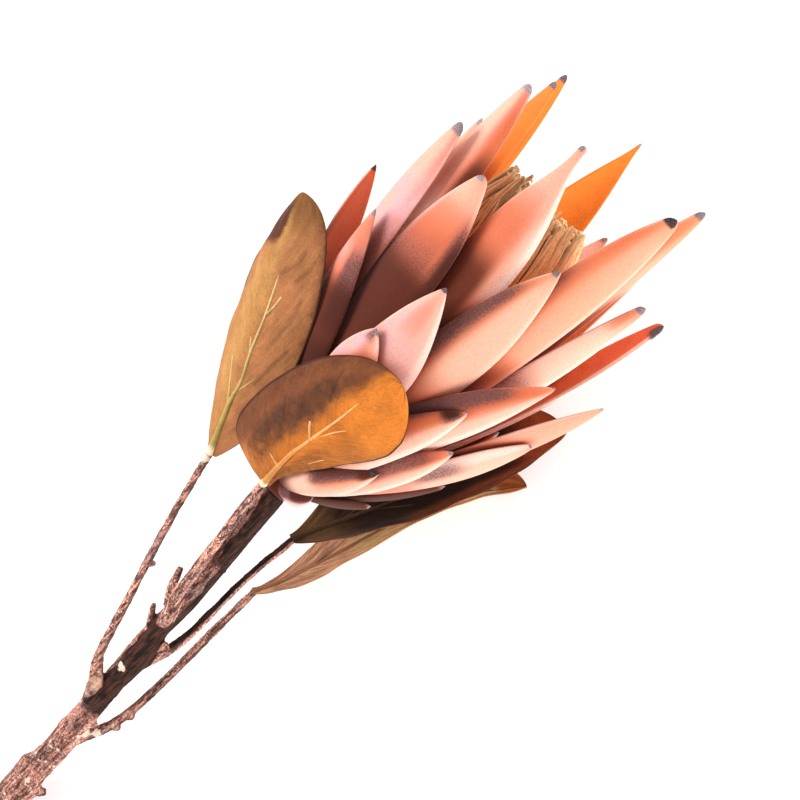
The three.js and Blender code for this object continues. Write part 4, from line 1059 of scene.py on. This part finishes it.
def fused_stem():
    """The stem, petioles and stubs grown into one skin: its mesh, points and normals."""
    build = Build()
    add_branch(build, STEM, 120, 28, AXIS)
    for rows in PETIOLES.values():
        add_branch(build, rows, 60, 16)
    for rows in STUBS:
        add_branch(build, rows, 10, 12)
    raw = place_object("stem_raw", build.mesh("stem_raw"))
    modifier = raw.modifiers.new("fuse", "REMESH")
    modifier.mode = "VOXEL"
    modifier.voxel_size = VOXEL * MM
    mesh = bpy.data.meshes.new_from_object(raw.evaluated_get(bpy.context.evaluated_depsgraph_get()))
    bpy.data.objects.remove(raw)
    vectors = {}
    for key in ("co", "normal"):
        flat = np.empty(len(mesh.vertices) * 3, np.float32)
        mesh.vertices.foreach_get(key, flat)
        vectors[key] = flat.reshape(-1, 3).astype(float)
    return mesh, vectors["co"] / MM, vectors["normal"]


def make_stem():
    mesh, co, nn = fused_stem()
    out, along = nearest(co, STEM)
    on_stem = 1 - step(out, 0.5, 1.4)
    x, y, z = co.T
    lumps = field(x / 6, y / 4, z / 4)
    ridges = field(x / 11, y / 1.2, z / 1.2)
    grit = field(x, y, z)

    # rough bark, smoother on one stretch, and flat on the cut end and in the head
    smooth = on_stem * step(along, -78, -58) * step(-nn[:, 1], -0.1, 0.5)
    height = (0.6 + 0.4 * on_stem) * (1 - 0.75 * smooth) * (0.3 * lumps + 0.36 * ridges + 0.26 * grit)
    ends = np.abs(nn @ AXIS) * on_stem * (step(along, -8, -4) + (1 - step(along, -177.5, -176)))
    height = height * (1 - np.clip(ends, 0, 1))
    cut_x = cad_low[0] / MM
    co = co + nn * height[:, None]
    co[:, 2] = np.maximum(co[:, 2], 0.0)
    co[:, 0] = np.maximum(co[:, 0], cut_x)
    mesh.vertices.foreach_set("co", (co * MM).astype(np.float32).ravel())

    # painted shade and painted light, from the way each point faces: what is dark and what is lit on the
    # far side, a stretch on top, the petioles and a torn patch
    ny, nz = nn[:, 1], nn[:, 2]
    wobble = 0.3 * lumps
    on_right = (nearest(co, PETIOLES["right"])[0] < 1.0) * (1 - on_stem)
    out, along_front = nearest(co, PETIOLES["front"])
    on_front = (out < 0.7) * step(along_front, -66, -58)
    elsewhere = (1 - on_stem) * (1 - on_right)
    shady = step(-ny + 0.25 * nz + wobble, -0.15, 0.3)
    torn = band(along, -60, -34, 4)
    shady = shady * (1 - 0.85 * torn * step(ny + 1.1 * nz + 1.2 * wobble, 0.1, 0.7))
    middle = on_stem * band(along, -104, -62, 6) * step(nz - 0.3 * ny + wobble, 0.1, 0.6)
    values = {"dark": on_stem * step(along, -100, -80) * shady}
    raise_to(values, "dark", 0.95 * middle)
    raise_to(values, "dark", on_right * step(ny + 0.6 * nz + wobble, 0.1, 0.7) * 0.95)
    raise_to(values, "dark", 0.5 * elsewhere * step(-ny + wobble, 0.1, 0.6))
    values["dark"] = values["dark"] * (1 - on_front)
    values["lit"] = step(ny + wobble, -0.1, 0.7) * (0.45 + 0.55 * step(along, -110, -90))
    raise_to(values, "lit", on_right * step(-ny + wobble, 0.1, 0.6))
    raise_to(values, "lit", 0.8 * elsewhere * step(nz - ny + wobble, 0.2, 0.9))
    raise_to(values, "lit", on_stem * (1 - step(along, -104, -98)) * step(-ny + wobble, 0.5, 0.9))
    raise_to(values, "lit", on_front * step(nz + 0.6 * ny + wobble, 0.0, 0.5))

    # cracks, scars, the knob and the cut end
    values["crack"] = step(-(ridges * 0.8 + grit * 0.25), 0.14, 0.4)
    values["pale"] = np.zeros(len(co))
    for place, width, strength in RING_SCARS:
        ring = bell(along - place + 2.4 * lumps, width)
        raise_to(values, "pale", on_stem * strength * ring * step(ridges + 0.3, 0.0, 0.4))
    for place, size in SCARS:
        raise_to(values, "pale", spot_at(co, place, 0.9 * grit, size * 0.6, size * 1.15))
    values["knob"] = spot_at(co, KNOB, 0.8 * grit, 1.6, 3.2)
    values["cut"] = on_stem * (1 - step(co[:, 0], cut_x + 0.15, cut_x + 0.5))
    place_piece("stem_bark", mesh, values, bark_material(), "stem")


def make_stage():
    """The floor, the lights and the camera."""
    mesh = bpy.data.meshes.new("floor")
    mesh.from_pydata([(-4, -4, 0), (4, -4, 0), (4, 4, 0), (-4, 4, 0)], [], [(0, 1, 2, 3)])
    floor = place_object("floor", mesh)
    floor.location = (0.05, 0, -0.0002)
    paper = Shader("pale_paper", roughness=1.0, specular=0.0)
    paper.colour = (0.95, 0.95, 0.95)
    mesh.materials.append(paper.finish())

    world = bpy.data.worlds.new("studio")
    world.use_nodes = True
    back = world.node_tree.nodes["Background"]
    back.inputs["Color"].default_value = (1, 1, 1, 1)
    back.inputs["Strength"].default_value = 0.85
    bpy.context.scene.world = world

    middle = Vector((0.06, 0, 0.04))
    for name, place in (("key", (-0.55, 1.2, 0.7)), ("rim", (0.5, -1.3, 0.5))):
        data = bpy.data.lights.new(name, "AREA")
        data.shape = "DISK"
        data.size = 0.9
        data.energy = 25
        data.color = (1.0, 0.985, 0.97)
        lamp = place_object(name, data)
        lamp.location = place
        lamp.rotation_euler = (middle - Vector(place)).to_track_quat("-Z", "Y").to_euler()

    # the camera looks straight down
    data = bpy.data.cameras.new("camera")
    data.sensor_width = 36
    data.lens = 165.44
    data.clip_end = 50
    camera = place_object("camera", data)
    camera.location = (0.0536, -0.0098, 1.2989)
    camera.rotation_euler = (0, 0, math.radians(-45))
    bpy.context.scene.camera = camera
    bpy.context.scene.view_settings.view_transform = "Standard"


make_stage()
florets = floret_build()
florets.place("florets_yarn", floret_material(), "florets")
leaves = []
for number, (name, leaf) in enumerate(LEAVES.items()):
    leaves.append(leaf_build(leaf, 20.0 + 3 * number))
    leaves[-1].place(name + "_blade", leaf_material(name + "_cloth", **LEAF_LOOKS[name]), name)
make_bracts([florets, *leaves])
make_stem()
